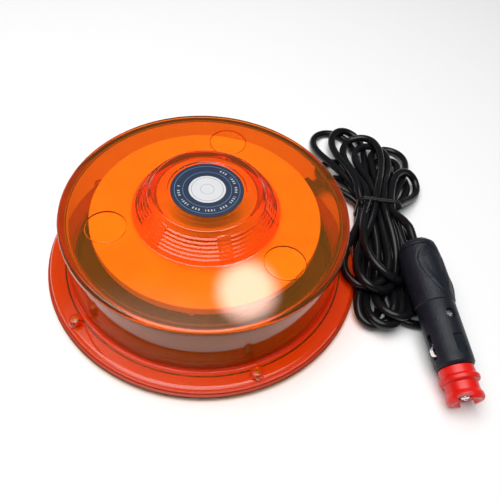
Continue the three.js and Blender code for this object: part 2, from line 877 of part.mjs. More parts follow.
// ---------------------------------------------------------------- hank
const hankWaist = { x: 100, y: 47, halfWidth: 12.8, height: 19.4 };
const fanHeight = 9.4;
const tieWire = 0.9;
const fanOutline = [
  [88, 40], [88, 20], [88.2, 0], [87.4, -16], [83.6, -30], [87, -37], [96, -44.5], [106, -41], [112, -35],
  [124, -30], [137, -20], [146, -6], [147, 8], [144, 20], [136, 31], [122, 38], [113, 42],
  [113, 52], [120, 70], [124, 88], [120, 96], [113, 99], [114, 123], [110, 128], [105, 124],
  [101, 108], [96, 118], [86, 134], [75, 131], [66, 135.5], [59, 128], [61, 116],
  [73, 86], [85, 62], [87, 54],
];
const tailRoute = [
  ...[
    [107.2, 42.6, 16.4],
    [109.4, 36.6, 18.6],
    [112.4, 30.4, 20.8],
    [114.9, 24.6, 21.7],
  ].map(besideCover),
  new THREE.Vector3(0, 0, plugEnd + gap).applyMatrix4(plugFrame).toArray(),
];
const waistOutline = [
  [87.2, 54], [87.2, 40], [88, 22], [94, 6], [104, 8], [112.8, 30], [112.8, 54],
  [110, 70], [98, 84], [90, 70],
];

function plugEnvelope() {
  const outline = [
    [0, -4],
    [barrelRadius + gap, -4],
    ...plugOutline(gap),
    [gripRadius + gap, gripEnd],
    [gripRadius - 2, plugEnd + 1],
    [0, plugEnd + 1],
  ];
  return solid(turnedGeometry(outline, 20).applyMatrix4(plugFrame));
}

function tie(grow) {
  const { halfWidth, height } = hankWaist;
  const [x, y] = [hankWaist.x + hankShift.x, hankWaist.y + hankShift.y];
  const [reach, low, high] = [halfWidth + gap, tieWire, height + gap];
  const outside = block(
    [x - reach - tieWire - grow, y - 1.5 - grow, 0.1 - grow],
    [x + reach + tieWire + grow, y + 1.5 + grow, high + tieWire + grow],
  );
  const inside = block([x - reach + grow, y - 3, low + 0.4 + grow], [x + reach - grow, y + 3, high - grow]);
  return cut(outside, [inside]);
}

const leadEnd = leadRoute[leadRoute.length - 1];
const hank = cut(
  joined([
    solid(slabGeometry(fanOutline, 0, fanHeight).translate(...hankShift)),
    solid(slabGeometry(waistOutline, 1, hankWaist.height).translate(...hankShift)),
  ]),
  [
    plugEnvelope(),
    tube([...leadRoute, [leadEnd[0] + 0.1, leadEnd[1] - 2, leadEnd[2]]], leadPassage, 13, 8),
    tube([besideCover([106.6, 44.4, 15.8]), ...tailRoute], leadPassage, 6, 8),
    tie(gap),
  ],
);
node(beacon, "lead_hank", hank, "cable");
node(beacon, "hank_tie", tie(0), "rubber");
node(beacon, "lead", tube(leadRoute, leadRadius, 12), "cable");
node(beacon, "lead_tail", tube(tailRoute, leadRadius, 8), "cable");

export default beacon;
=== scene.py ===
import math

import bmesh
import bpy
import numpy as np
from mathutils import Matrix, Vector


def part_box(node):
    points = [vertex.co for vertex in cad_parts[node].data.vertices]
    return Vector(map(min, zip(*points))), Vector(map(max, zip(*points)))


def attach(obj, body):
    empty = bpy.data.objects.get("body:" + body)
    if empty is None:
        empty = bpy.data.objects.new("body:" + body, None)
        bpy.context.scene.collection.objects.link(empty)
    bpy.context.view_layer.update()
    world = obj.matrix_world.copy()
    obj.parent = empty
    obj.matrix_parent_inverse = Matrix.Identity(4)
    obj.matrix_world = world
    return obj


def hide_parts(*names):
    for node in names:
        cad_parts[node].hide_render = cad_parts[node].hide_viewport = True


bl_info = {
    "name": "LED safety flare",
    "version": (1, 0, 0),
    "blender": (4, 5, 0),
    "location": "3D View > Sidebar > Flare",
    "description": "A low amber LED beacon on a magnetic base, with its hanked lead and vehicle plug",
    "category": "Object",
}

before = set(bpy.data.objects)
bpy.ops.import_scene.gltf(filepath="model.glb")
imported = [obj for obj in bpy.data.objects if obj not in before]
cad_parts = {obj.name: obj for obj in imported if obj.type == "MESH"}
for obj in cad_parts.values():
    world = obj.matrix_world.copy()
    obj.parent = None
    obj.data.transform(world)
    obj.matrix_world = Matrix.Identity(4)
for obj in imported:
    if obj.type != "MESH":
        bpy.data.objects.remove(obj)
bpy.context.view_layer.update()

MM = 0.001
TURN = 2 * math.pi
ROUND = 160  # segments round the beacon
FINE = 72  # segments round the plug and its pieces
SMALL = 28  # segments round a screw or an LED


# ---------------------------------------------------------------- sizes and colours
def length(name, description, millimetres):
    return bpy.props.FloatProperty(
        name=name, description=description, default=millimetres * MM, unit="LENGTH", precision=4
    )


def colour(name, description, red, green, blue):
    return bpy.props.FloatVectorProperty(
        name=name, description=description, default=(red, green, blue), size=3, subtype="COLOR",
        min=0.0, max=1.0,
    )


def middle_of(node):
    low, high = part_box(node)
    return (low + high) / 2


LENS_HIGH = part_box("lens_cover")[1]
PAD_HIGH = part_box("foot_pad")[1]
BASE_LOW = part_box("base_plate")[0]


class FlareCoverSizes(bpy.types.PropertyGroup):
    """Sizes of the amber cover and of what it stands on"""

    flange: length("Flange radius", "Radius of the cover's lowest edge", LENS_HIGH.x / MM)
    wall: length("Wall radius", "Radius of the upright wall", 74.4)
    rim: length("Rim radius", "Radius of the rolled rim round the top", 75.0)
    top: length("Top height", "Height of the flat top", 45.0)
    thickness: length("Thickness", "Wall thickness of the moulding", 2.6)
    hub: length("Hub radius", "Radius of the hub's lowest step", 37.5)
    shoulder: length("Shoulder radius", "Radius of the hub's top", 28.8)
    hub_top: length("Hub height", "Height of the hub's top", LENS_HIGH.z / MM)
    recess: length("Recess radius", "Radius of a round recess in the top", 10.5)
    recess_circle: length("Recess circle", "Distance of the recesses from the middle", 52.0)
    boss: length("Boss radius", "Radius of a screw boss on the flange", 3.6)
    boss_circle: length("Boss circle", "Distance of the screw bosses from the middle", 80.7)
    label: length("Label radius", "Radius of the printed disc", 18.4)
    flange_top: length("Flange top", "Height of the flange's top face", 8.6)
    base_top: length("Base top", "Height of the base's top face", 5.4)
    pad: length("Pad radius", "Radius of the foot pad", PAD_HIGH.x / MM)
    disc: length("Disc radius", "Radius of the white disc", 60.0)


class FlareLeadSizes(bpy.types.PropertyGroup):
    """Sizes of the lead and its tie"""

    diameter: length("Lead diameter", "Outside diameter of the lead", 4.8)
    total: length("Lead length", "Whole length of the free lead", 2750.0)
    tie: length("Tie wire", "Radius of the covered tie wire", 0.62)


class FlarePlugSizes(bpy.types.PropertyGroup):
    """Sizes of the vehicle plug, along its own axis from the tip"""

    barrel: length("Barrel radius", "Radius that goes into the socket", 10.2)
    barrel_end: length("Barrel end", "Where the grip begins", 52.0)
    grip: length("Grip radius", "Radius of the grip", 11.6)
    grip_end: length("Grip end", "Where the rear cap begins", 85.5)
    whole: length("Plug length", "Length from the adapter's front to the rear cap's end", 92.0)
    adapter: length("Adapter length", "Length of the push-on adapter", 17.2)


class FlareColours(bpy.types.PropertyGroup):
    """Colours of the flare's materials"""

    amber: colour("Amber", "Body colour of the cover's plastic", 0.995, 0.60, 0.04)
    frost: colour("Frosted amber", "Body colour of the flange's matt underside", 0.62, 0.04, 0.003)
    amber_depth: colour("Amber depth", "What a deep layer of the cover lets through", 0.994, 0.77, 0.05)
    black: colour("Black plastic", "Moulded base", 0.012, 0.012, 0.014)
    rubber: colour("Rubber", "Foot pad and strain relief", 0.018, 0.018, 0.02)
    jacket: colour("Jacket", "The lead's sheath", 0.006, 0.006, 0.007)
    plug: colour("Plug", "Grained shells of the plug", 0.0085, 0.0105, 0.017)
    red: colour("Red", "The plug's adapter", 0.72, 0.008, 0.004)
    white: colour("White", "The reflector disc", 0.66, 0.64, 0.6)
    navy: colour("Navy", "The label's printed ring", 0.017, 0.028, 0.058)


def sizes(group):
    return getattr(bpy.context.scene, group)


# ---------------------------------------------------------------- materials
class Shader:
    """A new material with its Principled shader, and short calls for what drives it."""

    def __init__(self, name):
        self.material = bpy.data.materials.new(name)
        self.material.use_nodes = True
        self.nodes = self.material.node_tree.nodes
        self.links = self.material.node_tree.links
        self.surface = self.nodes["Principled BSDF"]
        self.output = self.nodes["Material Output"]
        self.place = self.nodes.new("ShaderNodeTexCoord").outputs["Object"]

    def set(self, **values):
        for name, value in values.items():
            self.surface.inputs[name.replace("_", " ")].default_value = value

    def noise(self, scale, detail=3.0, stretch=None):
        noise = self.nodes.new("ShaderNodeTexNoise")
        noise.inputs["Scale"].default_value = scale
        noise.inputs["Detail"].default_value = detail
        place = self.place
        if stretch:
            mapping = self.nodes.new("ShaderNodeMapping")
            mapping.inputs["Scale"].default_value = stretch
            self.links.new(place, mapping.inputs["Vector"])
            place = mapping.outputs["Vector"]
        self.links.new(place, noise.inputs["Vector"])
        return noise.outputs["Fac"]

    def grains(self, scale):
        cells = self.nodes.new("ShaderNodeTexVoronoi")
        cells.inputs["Scale"].default_value = scale
        self.links.new(self.place, cells.inputs["Vector"])
        return cells.outputs["Distance"]

    def spread(self, value, low, high, start=0.35, end=0.65):
        ranged = self.nodes.new("ShaderNodeMapRange")
        ranged.inputs["From Min"].default_value = start
        ranged.inputs["From Max"].default_value = end
        ranged.inputs["To Min"].default_value = low
        ranged.inputs["To Max"].default_value = high
        self.links.new(value, ranged.inputs["Value"])
        return ranged.outputs["Result"]

    def between(self, value, first, second):
        mix = self.nodes.new("ShaderNodeMix")
        mix.data_type = "RGBA"
        self.links.new(value, mix.inputs["Factor"])
        for socket, given in (("A", first), ("B", second)):
            target = next(s for s in mix.inputs if s.name == socket and s.type == "RGBA")
            if isinstance(given, bpy.types.NodeSocket):
                self.links.new(given, target)
            else:
                target.default_value = (*given, 1.0)
        return next(s for s in mix.outputs if s.type == "RGBA")

    def maths(self, operation, first, second=0.0):
        node = self.nodes.new("ShaderNodeMath")
        node.operation = operation
        for socket, given in zip(node.inputs, (first, second)):
            if isinstance(given, bpy.types.NodeSocket):
                self.links.new(given, socket)
            else:
                socket.default_value = given
        return node.outputs["Value"]

    def drive(self, socket, value):
        self.links.new(value, self.surface.inputs[socket])

    def bump(self, height, depth, strength=1.0):
        bump = self.nodes.new("ShaderNodeBump")
        bump.inputs["Strength"].default_value = strength
        bump.inputs["Distance"].default_value = depth
        self.links.new(height, bump.inputs["Height"])
        self.links.new(bump.outputs["Normal"], self.surface.inputs["Normal"])


def shade(tint, by):
    return tuple(min(1.0, c * by) for c in tint)


def moulded(name, tint, roughness, grain=1400.0, depth=0.02 * MM, uneven=0.12, shine=0.5):
    """Moulded plastic or rubber: fine grain, a slightly uneven gloss and a little mottling."""
    made = Shader(name)
    made.drive("Base Color", made.between(made.noise(60.0), shade(tint, 0.8), shade(tint, 1.25)))
    low, high = roughness * (1 - uneven), roughness * (1 + uneven)
    made.drive("Roughness", made.spread(made.noise(180.0, 4.0), low, min(high, 1.0)))
    made.bump(made.grains(grain), depth)
    made.set(IOR=1.5, Specular_IOR_Level=shine)
    return made.material


def plated(name, tint, roughness, brushed=None):
    """Plated or rolled metal, with fine lines along one direction where it is brushed."""
    made = Shader(name)
    lines = made.noise(900.0, 4.0, brushed or (1.0, 1.0, 1.0))
    made.drive("Base Color", made.between(made.noise(120.0), shade(tint, 0.86), tint))
    made.drive("Roughness", made.spread(lines, roughness * 0.7, roughness * 1.35))
    made.bump(lines, 0.006 * MM)
    made.set(Metallic=1.0)
    return made.material


def amber_moulding(name, body, clearness, roughness, ripple):
    """Tinted clear plastic: the deeper the layer, the redder it is. Lamps reach through it."""
    tint = sizes("flare_colours")
    made = Shader(name)
    made.set(Transmission_Weight=clearness, IOR=1.5, Roughness=roughness)
    made.drive("Base Color", made.between(made.noise(9.0), shade(body, 0.97), body))
    made.bump(made.noise(26.0, 2.0), ripple, 0.35)
    path = made.nodes.new("ShaderNodeLightPath")
    clear = made.nodes.new("ShaderNodeBsdfTransparent")
    mix = made.nodes.new("ShaderNodeMixShader")
    made.links.new(path.outputs["Is Shadow Ray"], mix.inputs[0])
    made.links.new(made.surface.outputs[0], mix.inputs[1])
    made.links.new(clear.outputs[0], mix.inputs[2])
    made.links.new(mix.outputs[0], made.output.inputs["Surface"])
    depth = made.nodes.new("ShaderNodeVolumeAbsorption")
    depth.inputs["Color"].default_value = (*tint.amber_depth, 1.0)
    depth.inputs["Density"].default_value = 940.0
    made.links.new(depth.outputs[0], made.output.inputs["Volume"])
    return made.material


def label_print():
    """A printed disc: a navy ring with thin pale circles and plain ticks round a white middle."""
    navy = tuple(sizes("flare_colours").navy)
    made = Shader("label_print")
    parts = made.nodes.new("ShaderNodeSeparateXYZ")
    made.links.new(made.place, parts.inputs[0])
    across, along = parts.outputs["X"], parts.outputs["Y"]
    reach = made.maths("SQRT", made.maths(
        "ADD", made.maths("POWER", across, 2.0), made.maths("POWER", along, 2.0)))
    angle = made.maths("ARCTAN2", along, across)

    def line(radius, width):
        return made.maths("LESS_THAN", made.maths("ABSOLUTE", made.maths(
            "SUBTRACT", reach, radius * MM)), width * MM)

    def inside(radius):
        return made.maths("LESS_THAN", reach, radius * MM)

    marks = made.maths("GREATER_THAN", made.maths("SINE", made.maths("MULTIPLY", angle, 58.0)), 0.1)
    longer = made.maths("GREATER_THAN", made.maths("SINE", made.maths("MULTIPLY", angle, 13.0)), -0.55)
    arc = made.maths("LESS_THAN", made.maths("COSINE", made.maths("ADD", angle, -2.2)), 0.62)
    ticks = made.maths("MULTIPLY", made.maths("MULTIPLY", marks, longer), arc)
    ticks = made.maths("MULTIPLY", ticks, line(14.4, 0.62))
    paper = made.between(made.noise(300.0), (0.60, 0.61, 0.62), (0.66, 0.67, 0.68))
    ink = made.between(made.noise(400.0), shade(navy, 0.8), shade(navy, 1.25))
    face = made.between(line(16.4, 0.13), ink, (0.10, 0.22, 0.42))
    face = made.between(line(12.2, 0.13), face, (0.10, 0.22, 0.42))
    face = made.between(ticks, face, (0.42, 0.46, 0.52))
    face = made.between(inside(9.3), face, paper)
    face = made.between(line(8.0, 0.10), face, (0.16, 0.19, 0.26))
    face = made.between(line(3.4, 0.10), face, (0.25, 0.28, 0.33))
    made.drive("Base Color", face)
    made.drive("Roughness", made.spread(made.noise(700.0), 0.34, 0.46))
    made.set(Specular_IOR_Level=0.3)
    made.bump(made.noise(1500.0), 0.004 * MM)
    return made.material


def circuit_finish(name, tint, traces):
    """A circuit board: solder resist over copper tracks that stand a little proud."""
    made = Shader(name)
    tracks = made.nodes.new("ShaderNodeTexBrick")
    tracks.inputs["Scale"].default_value = traces
    tracks.inputs["Mortar Size"].default_value = 0.06
    made.links.new(made.place, tracks.inputs["Vector"])
    lines = tracks.outputs["Fac"]
    made.drive("Base Color", made.between(lines, tint, shade(tint, 2.2)))
    made.drive("Roughness", made.spread(made.noise(400.0), 0.25, 0.4))
    made.bump(lines, 0.03 * MM)
    return made.material


def clear_glass(name, tint):
    """The fuse's glass tube."""
    made = Shader(name)
    made.set(Transmission_Weight=1.0, IOR=1.5)
    made.drive("Base Color", made.between(made.noise(200.0), tint, shade(tint, 0.95)))
    made.drive("Roughness", made.spread(made.noise(200.0), 0.01, 0.05))
    return made.material


def make_materials():
    """Every finish, by the name of the record's material slot."""
    tint = sizes("flare_colours")
    return {
        "amber_lens": amber_moulding("amber_clear", tint.amber, 0.95, 0.025, 0.05 * MM),
        "amber_frost": amber_moulding("amber_frosted", tint.frost, 0.35, 0.45, 0.1 * MM),
        "label_print": label_print(),
        "black_plastic": moulded("black_plastic", tint.black, 0.38),
        "foot_rubber": moulded("foot_rubber", tint.rubber, 0.72, 900.0, 0.05 * MM),
        "seal_rubber": moulded("seal_rubber", (0.03, 0.03, 0.032), 0.7),
        "ferrite": moulded("ferrite", (0.035, 0.035, 0.038), 0.55, 2600.0, 0.03 * MM),
        "keeper_steel": plated("keeper_steel", (0.55, 0.56, 0.58), 0.34),
        "screw_steel": plated("screw_steel", (0.62, 0.62, 0.64), 0.28),
        "sink_aluminium": plated("black_anodised", (0.05, 0.05, 0.055), 0.5, (1.0, 1.0, 14.0)),
        "led_board": circuit_finish("led_board", (0.012, 0.012, 0.014), 90.0),
        "reflector_white": moulded("reflector_white", tint.white, 0.33, 700.0, 0.006 * MM),
        "circuit_board": circuit_finish("circuit_board", (0.01, 0.07, 0.03), 120.0),
        "capacitor_can": moulded("capacitor_sleeve", (0.015, 0.015, 0.02), 0.3),
        "chip_epoxy": moulded("chip_epoxy", (0.02, 0.02, 0.022), 0.6),
        "relief_rubber": moulded("relief_rubber", tint.rubber, 0.42),
        "cable_jacket": moulded("cable_jacket", tint.jacket, 0.2, 500.0, 0.02 * MM, 0.25, 0.28),
        "tie_wire": moulded("tie_cover", tint.jacket, 0.3, 900.0),
        "plug_shell": moulded("plug_shell", tint.plug, 0.44, 1500.0, 0.12 * MM, 0.15, 0.3),
        "contact_metal": plated("nickel", (0.86, 0.85, 0.83), 0.2),
        "spring_steel": plated("spring_steel", (0.55, 0.56, 0.58), 0.25),
        "fuse_glass": clear_glass("fuse_glass", (0.92, 0.96, 0.95)),
        "red_plastic": moulded("red_adapter", tint.red, 0.36, 1200.0, 0.012 * MM, 0.2),
        "led_dome": moulded("led_dome", (0.85, 0.55, 0.12), 0.12, 200.0, 0.002 * MM),
    }


MATERIALS = {}


def finish_node(node, slot):
    """Gives a CAD node that stays its slot's finish."""
    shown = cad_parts[node]
    for place in shown.material_slots:
        place.material = MATERIALS[slot]


# ---------------------------------------------------------------- shapes
def rounded(corners, steps=5):
    """A profile of [radius, height, fillet] corners, in millimetres, with arcs at its fillets."""
    points = []
    for number, (radius, height, fillet) in enumerate(corners):
        here = Vector((radius, height))
        before = Vector(corners[number - 1][:2])
        after = Vector(corners[(number + 1) % len(corners)][:2])
        if fillet <= 0:
            points.append(here)
            continue
        back, on = (before - here).normalized(), (after - here).normalized()
        half = back.angle(on) / 2
        run = min(fillet / math.tan(half), 0.49 * (before - here).length, 0.49 * (after - here).length)
        if run < 0.01:
            points.append(here)
            continue
        centre = here + (back + on).normalized() * (run / math.cos(half))
        first, last = here + back * run - centre, here + on * run - centre
        sweep = math.pi - 2 * half
        for step in range(steps + 1):
            turned = sweep * step / steps
            spoke = first * math.sin(sweep - turned) + last * math.sin(turned)
            points.append(centre + spoke / math.sin(sweep))
    return flat_runs(points)


def flat_runs(points):
    """The same profile with a narrow band at each end of its long straights, which keeps them flat."""
    kept, band = [], 0.3
    for a, b in zip(points, [*points[1:], points[0]]):
        kept.append(a)
        run = b - a
        if run.length > 8 * band and (b is not points[0] or a[0] > 0):
            kept += [a + run.normalized() * band, b - run.normalized() * band]
    return kept


def spun(profile, around=FINE):
    """A closed profile in millimetres, spun about Z as a bmesh in metres."""
    shape = bmesh.new()
    ring = [shape.verts.new((p[0] * MM, 0.0, p[1] * MM)) for p in profile]
    edges = [shape.edges.new((a, b)) for a, b in zip(ring, ring[1:])]
    if profile[0][0] > 0:
        edges.append(shape.edges.new((ring[-1], ring[0])))
    bmesh.ops.spin(
        shape, geom=ring + edges, cent=(0, 0, 0), axis=(0, 0, 1), dvec=(0, 0, 0), angle=TURN,
        steps=around, use_merge=True, use_duplicate=False,
    )
    bmesh.ops.remove_doubles(shape, verts=shape.verts, dist=1e-7)
    bmesh.ops.recalc_face_normals(shape, faces=shape.faces)
    return shape


def rod(radius, low, high, place=(0, 0), around=FINE):
    """An upright cylinder, in millimetres."""
    shape = bmesh.new()
    move = Matrix.Translation(Vector((place[0], place[1], (low + high) / 2)) * MM)
    bmesh.ops.create_cone(
        shape, cap_ends=True, segments=around, radius1=radius * MM, radius2=radius * MM,
        depth=(high - low) * MM, matrix=move,
    )
    return shape


def softened(shape, by, segments=2):
    """Bevels every edge of a shape, by a width in millimetres."""
    bmesh.ops.bevel(
        shape, geom=shape.edges[:], offset=by * MM, segments=segments, profile=0.5, affect="EDGES",
        material=-1,
    )
    return shape


def block(low, high, bevelled=0.0, segments=3):
    """A box between two corners, in millimetres."""
    shape = bmesh.new()
    size = [(b - a) * MM for a, b in zip(low, high)]
    middle = Vector([(a + b) / 2 * MM for a, b in zip(low, high)])
    bmesh.ops.create_cube(shape, size=1.0, matrix=Matrix.Translation(middle) @ Matrix.Diagonal((*size, 1)))
    return softened(shape, bevelled, segments) if bevelled else shape


def prism(outline, low, high):
    """An outline of [x, y] points, raised from one height to another, in millimetres."""
    shape = bmesh.new()
    face = shape.faces.new([shape.verts.new((x * MM, y * MM, low * MM)) for x, y in outline])
    raised = bmesh.ops.extrude_face_region(shape, geom=[face])
    verts = [v for v in raised["geom"] if isinstance(v, bmesh.types.BMVert)]
    bmesh.ops.translate(shape, verts=verts, vec=(0, 0, (high - low) * MM))
    bmesh.ops.recalc_face_normals(shape, faces=shape.faces)
    return shape


def moved(shape, matrix):
    bmesh.ops.transform(shape, matrix=matrix, verts=shape.verts)
    return shape


def shift(x, y, z=0.0):
    """A move, in millimetres."""
    return Matrix.Translation((x * MM, y * MM, z * MM))


def gathered(shapes):
    """Several shapes in one bmesh."""
    whole = bmesh.new()
    for shape in shapes:
        mesh = bpy.data.meshes.new("gathered")
        shape.to_mesh(mesh)
        shape.free()
        whole.from_mesh(mesh)
        bpy.data.meshes.remove(mesh)
    return whole


def spin_by(angle):
    return Matrix.Rotation(angle, 4, "Z")


def circle(count, radius, first):
    """Places on a circle, in millimetres, with their angles."""
    made = []
    for number in range(count):
        angle = first + number * TURN / count
        made.append((radius * math.cos(angle), radius * math.sin(angle), angle))
    return made


def new_object(name, shape):
    mesh = bpy.data.meshes.new(name)
    shape.to_mesh(mesh)
    shape.free()
    made = bpy.data.objects.new(name, mesh)
    bpy.context.collection.objects.link(made)
    return made


def put_in(piece, matrix):
    """Moves a piece's mesh into place and leaves its object at the origin."""
    shape = bmesh.new()
    shape.from_mesh(piece.data)
    moved(shape, matrix)
    shape.to_mesh(piece.data)
    shape.free()


def carve(piece, shapes, operation="DIFFERENCE", crossing=False):
    """Cuts shapes out of a piece, or joins them to it, where they may cross each other."""
    tool = new_object("tool", gathered(shapes))
    step = piece.modifiers.new("carve", "BOOLEAN")
    step.operation, step.object, step.solver = operation, tool, "EXACT"
    step.use_self = crossing
    settled = piece.evaluated_get(bpy.context.evaluated_depsgraph_get())
    result = bpy.data.meshes.new_from_object(settled)
    piece.modifiers.remove(step)
    old, piece.data = piece.data, result
    bpy.data.meshes.remove(old)
    bpy.data.meshes.remove(tool.data)
    return piece


def finished(piece, slot, body, *nodes, sharp=32.0):
    """Smooths a piece, gives it its finish, ties it to its body, and hides the nodes it stands for."""
    piece.data.materials.clear()
    piece.data.materials.append(MATERIALS[slot])
    if piece.type == "MESH":
        piece.data.shade_smooth()
        piece.data.set_sharp_from_angle(angle=math.radians(sharp))
    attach(piece, body)
    if nodes:
        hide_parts(*nodes)
    return piece


def wire(name, points, radius, resolution=4):
    """An open round wire through points, in metres."""
    curve = bpy.data.curves.new(name, "CURVE")
    curve.dimensions = "3D"
    curve.bevel_depth = radius
    curve.bevel_resolution = resolution
    curve.use_fill_caps = True
    spline = curve.splines.new("POLY")
    spline.points.add(len(points) - 1)
    for place, point in zip(spline.points, points):
        place.co = (*point, 1.0)
    spline.use_smooth = True
    made = bpy.data.objects.new(name, curve)
    bpy.context.collection.objects.link(made)
    return made


# ---------------------------------------------------------------- where things are, in millimetres
GLAND_ANGLE = math.radians(45)
GLAND_HEIGHT = 8.2
GLAND_FACE = 86.4
GLAND_TIP = 98.4
PLUG_TIP = Vector((138.7, -73.5, 9.5))
PLUG_REAR = Vector((116.6, 17.9, 20.8))
PLUG_ROLL = math.radians(11)
SCREW_ANGLE = math.radians(-63.5)
RECESS_ANGLE = math.radians(85)
MAGNET_ANGLE = math.radians(105)
WEB_ANGLE = math.radians(-6.5)
WEB_COUNT = 6
MAGNET_CIRCLE = 38
POST_CIRCLE = 16
BOARD_CIRCLE = 30
LED_REACH = 47.3  # from the beacon's axis to the back of a LED board
PLUG_SCREW = 43.6  # from the plug's tip to its screw
ADAPTER_SLOT = math.radians(-39)


def plug_frame():
    """The plug's own frame, in metres: Z runs from its tip to its rear, X to its screw."""
    rearward = (PLUG_REAR - PLUG_TIP).normalized()
    up = Vector((0, 0, 1))
    screw_side = (up - rearward * up.dot(rearward)).normalized()
    screw_side.rotate(Matrix.Rotation(PLUG_ROLL, 3, rearward))
    turned = Matrix((screw_side, rearward.cross(screw_side), rearward)).transposed().to_4x4()
    return Matrix.Translation(PLUG_TIP * MM) @ turned


def gland_frame():
    """The strain relief's own frame, in metres: Z runs out from the beacon's axis."""
    return Matrix.Translation((0, 0, GLAND_HEIGHT * MM)) @ spin_by(GLAND_ANGLE) @ Matrix.Rotation(
        math.pi / 2, 4, "Y")


# ---------------------------------------------------------------- lead
WAIST = Vector((100.0, 47.0, 3.9))  # middle of the tie, at the lowest strands' height
ROW_RISE = 4.15

LEAD_ROUTE = [
    (69.8, 69.8, 8.2), (71.2, 71.2, 8.2), (75.6, 74.2, 6.4), (80.6, 74.6, 4.2), (85.2, 71.8, 2.9),
    (88.2, 66.4, 2.6), (89.6, 60.4, 2.6),
]
TAIL_ROUTE = [(107.2, 42.6, 16.4), (109.4, 36.6, 18.6), (112.4, 30.4, 20.8), (114.9, 24.6, 21.7)]
FLOOR_LOOP = [
    (113.0, 41.0, 5.0), (118.0, 36.0, 2.4), (127.0, 33.0, 2.4), (136.0, 28.0, 2.4),
    (142.0, 18.0, 2.4), (144.2, 5.0, 2.4), (141.0, -8.0, 2.4), (134.0, -18.0, 2.4),
    (124.0, -26.0, 2.4), (113.0, -30.0, 2.4), (104.5, -26.0, 2.6), (101.0, -12.0, 5.0),
    (103.0, 10.0, 8.0), (105.5, 30.0, 8.2),
]
# each turn of the hank: its fold below the tie, then its fold above it, as (tip, half width);
# slots are (row, place) in the tie, in the order that the lead passes them
TURNS = [
    (((88.4, -31.0, 2.6), 8.0), ((72.4, 101.0, 3.0), 8.0), (0, 1), (1, 1)),
    (((94.0, -37.5, 3.0), 8.5), ((65.8, 130.6, 2.6), 8.5), (1, 0), (0, 2)),
    (((99.0, -40.0, 7.0), 8.5), ((105.0, 106.5, 5.0), 8.0), (1, 2), (0, 3)),
    (((107.0, -27.0, 2.6), 8.5), ((115.6, 94.5, 4.0), 7.5), (0, 4), (1, 4)),
    (None, ((108.6, 121.5, 8.0), 6.5), (1, 3), (2, 3)),
    (((103.0, -36.0, 8.0), 8.5), ((81.8, 129.0, 7.0), 9.5), (2, 1), (2, 0)),
    (((92.0, -20.0, 9.0), 8.0), ((96.0, 115.0, 11.0), 8.0), (2, 2), (3, 2)),
    (((100.0, -24.0, 11.0), 8.0), ((89.4, 121.0, 11.0), 8.0), (3, 1), (3, 0)),
    (((104.0, -14.0, 13.0), 8.5), ((119.4, 91.0, 8.0), 7.5), (2, 4), (3, 3)),
]
# a fold's outline: (how far from the tie to the tip, share of its half width)
FOLD_SHAPE = [(0.18, 0.08), (0.38, 0.4), (0.58, 0.8), (0.76, 1.0), (0.91, 0.8)]
SPACING = 2.5  # between the points of the settled lead
LEAST_BEND = 9.4  # radius that the lead is eased towards, where it would fold tighter
START_HELD, END_HELD = 14, 16  # points that stay put at the strain relief and in the plug
PASSES, QUICK_PASSES = 260, 40


def in_tie(slot):
    """Where a strand passes through the tie, by its row and its place in the row."""
    row, place = slot
    across = (place - 2) * 4.8 + (2.4 if row % 2 else 0.0) - 0.2
    return WAIST + Vector((across, 0.0, row * ROW_RISE))


def fold(start, end, tip, half_width):
    """A teardrop fold from one strand in the tie to another."""
    tip = Vector(tip)
    along = tip - (start + end) / 2
    side = Vector((along.y, -along.x, 0.0)).normalized()
    if side.dot(start - end) < 0:
        side.negate()
    out = [start.lerp(tip, at) + side * half_width * wide for at, wide in FOLD_SHAPE]
    back = [end.lerp(tip, at) - side * half_width * wide for at, wide in reversed(FOLD_SHAPE)]
    return [*out, tip, *back]


def lead_points():
    """The points that the whole lead is drawn through, in millimetres."""
    points = [Vector(p) for p in LEAD_ROUTE]
    strand = in_tie((0, 0))
    points.append(strand)
    for below, above, first, last in TURNS:
        up = in_tie(first)
        if below is None:
            points += [Vector(p) for p in FLOOR_LOOP]
        else:
            points += fold(strand, up, *below)
        points.append(up)
        strand = in_tie(last)
        points += fold(up, strand, *above)
        points.append(strand)
    points += [Vector(p) for p in TAIL_ROUTE]
    rearward = (PLUG_REAR - PLUG_TIP).normalized()
    points += [PLUG_REAR + rearward * 1.5, PLUG_REAR - rearward * 5.0]
    return np.array([tuple(p) for p in points])


def smooth_line(points, spacing):
    """A smooth curve through the points, as points that lie evenly along it."""
    ends = np.vstack([2 * points[0] - points[1], points, 2 * points[-1] - points[-2]])
    pieces = []
    steps = np.linspace(0, 1, 24, endpoint=False)[:, None]
    for a, b, c, d in zip(ends, ends[1:], ends[2:], ends[3:]):
        curve = 2 * b + (c - a) * steps + (2 * a - 5 * b + 4 * c - d) * steps**2
        pieces.append((curve + (3 * b - a - 3 * c + d) * steps**3) / 2)
    fine = np.vstack([*pieces, points[-1:]])
    run = np.concatenate([[0], np.cumsum(np.linalg.norm(np.diff(fine, axis=0), axis=1))])
    count = int(round(run[-1] / spacing))
    at = np.linspace(0, run[-1], count + 1)
    return np.column_stack([np.interp(at, run, fine[:, axis]) for axis in range(3)])


def plug_reach(run):
    """The plug's radius at distances from its tip."""
    places = [-2, 0, 19, 51, 53, 83, 87, 92, 94]
    radii = [0, 10.1, 10.2, 10.2, 11.6, 11.4, 9.6, 4.0, 0]
    return np.interp(run, places, radii)


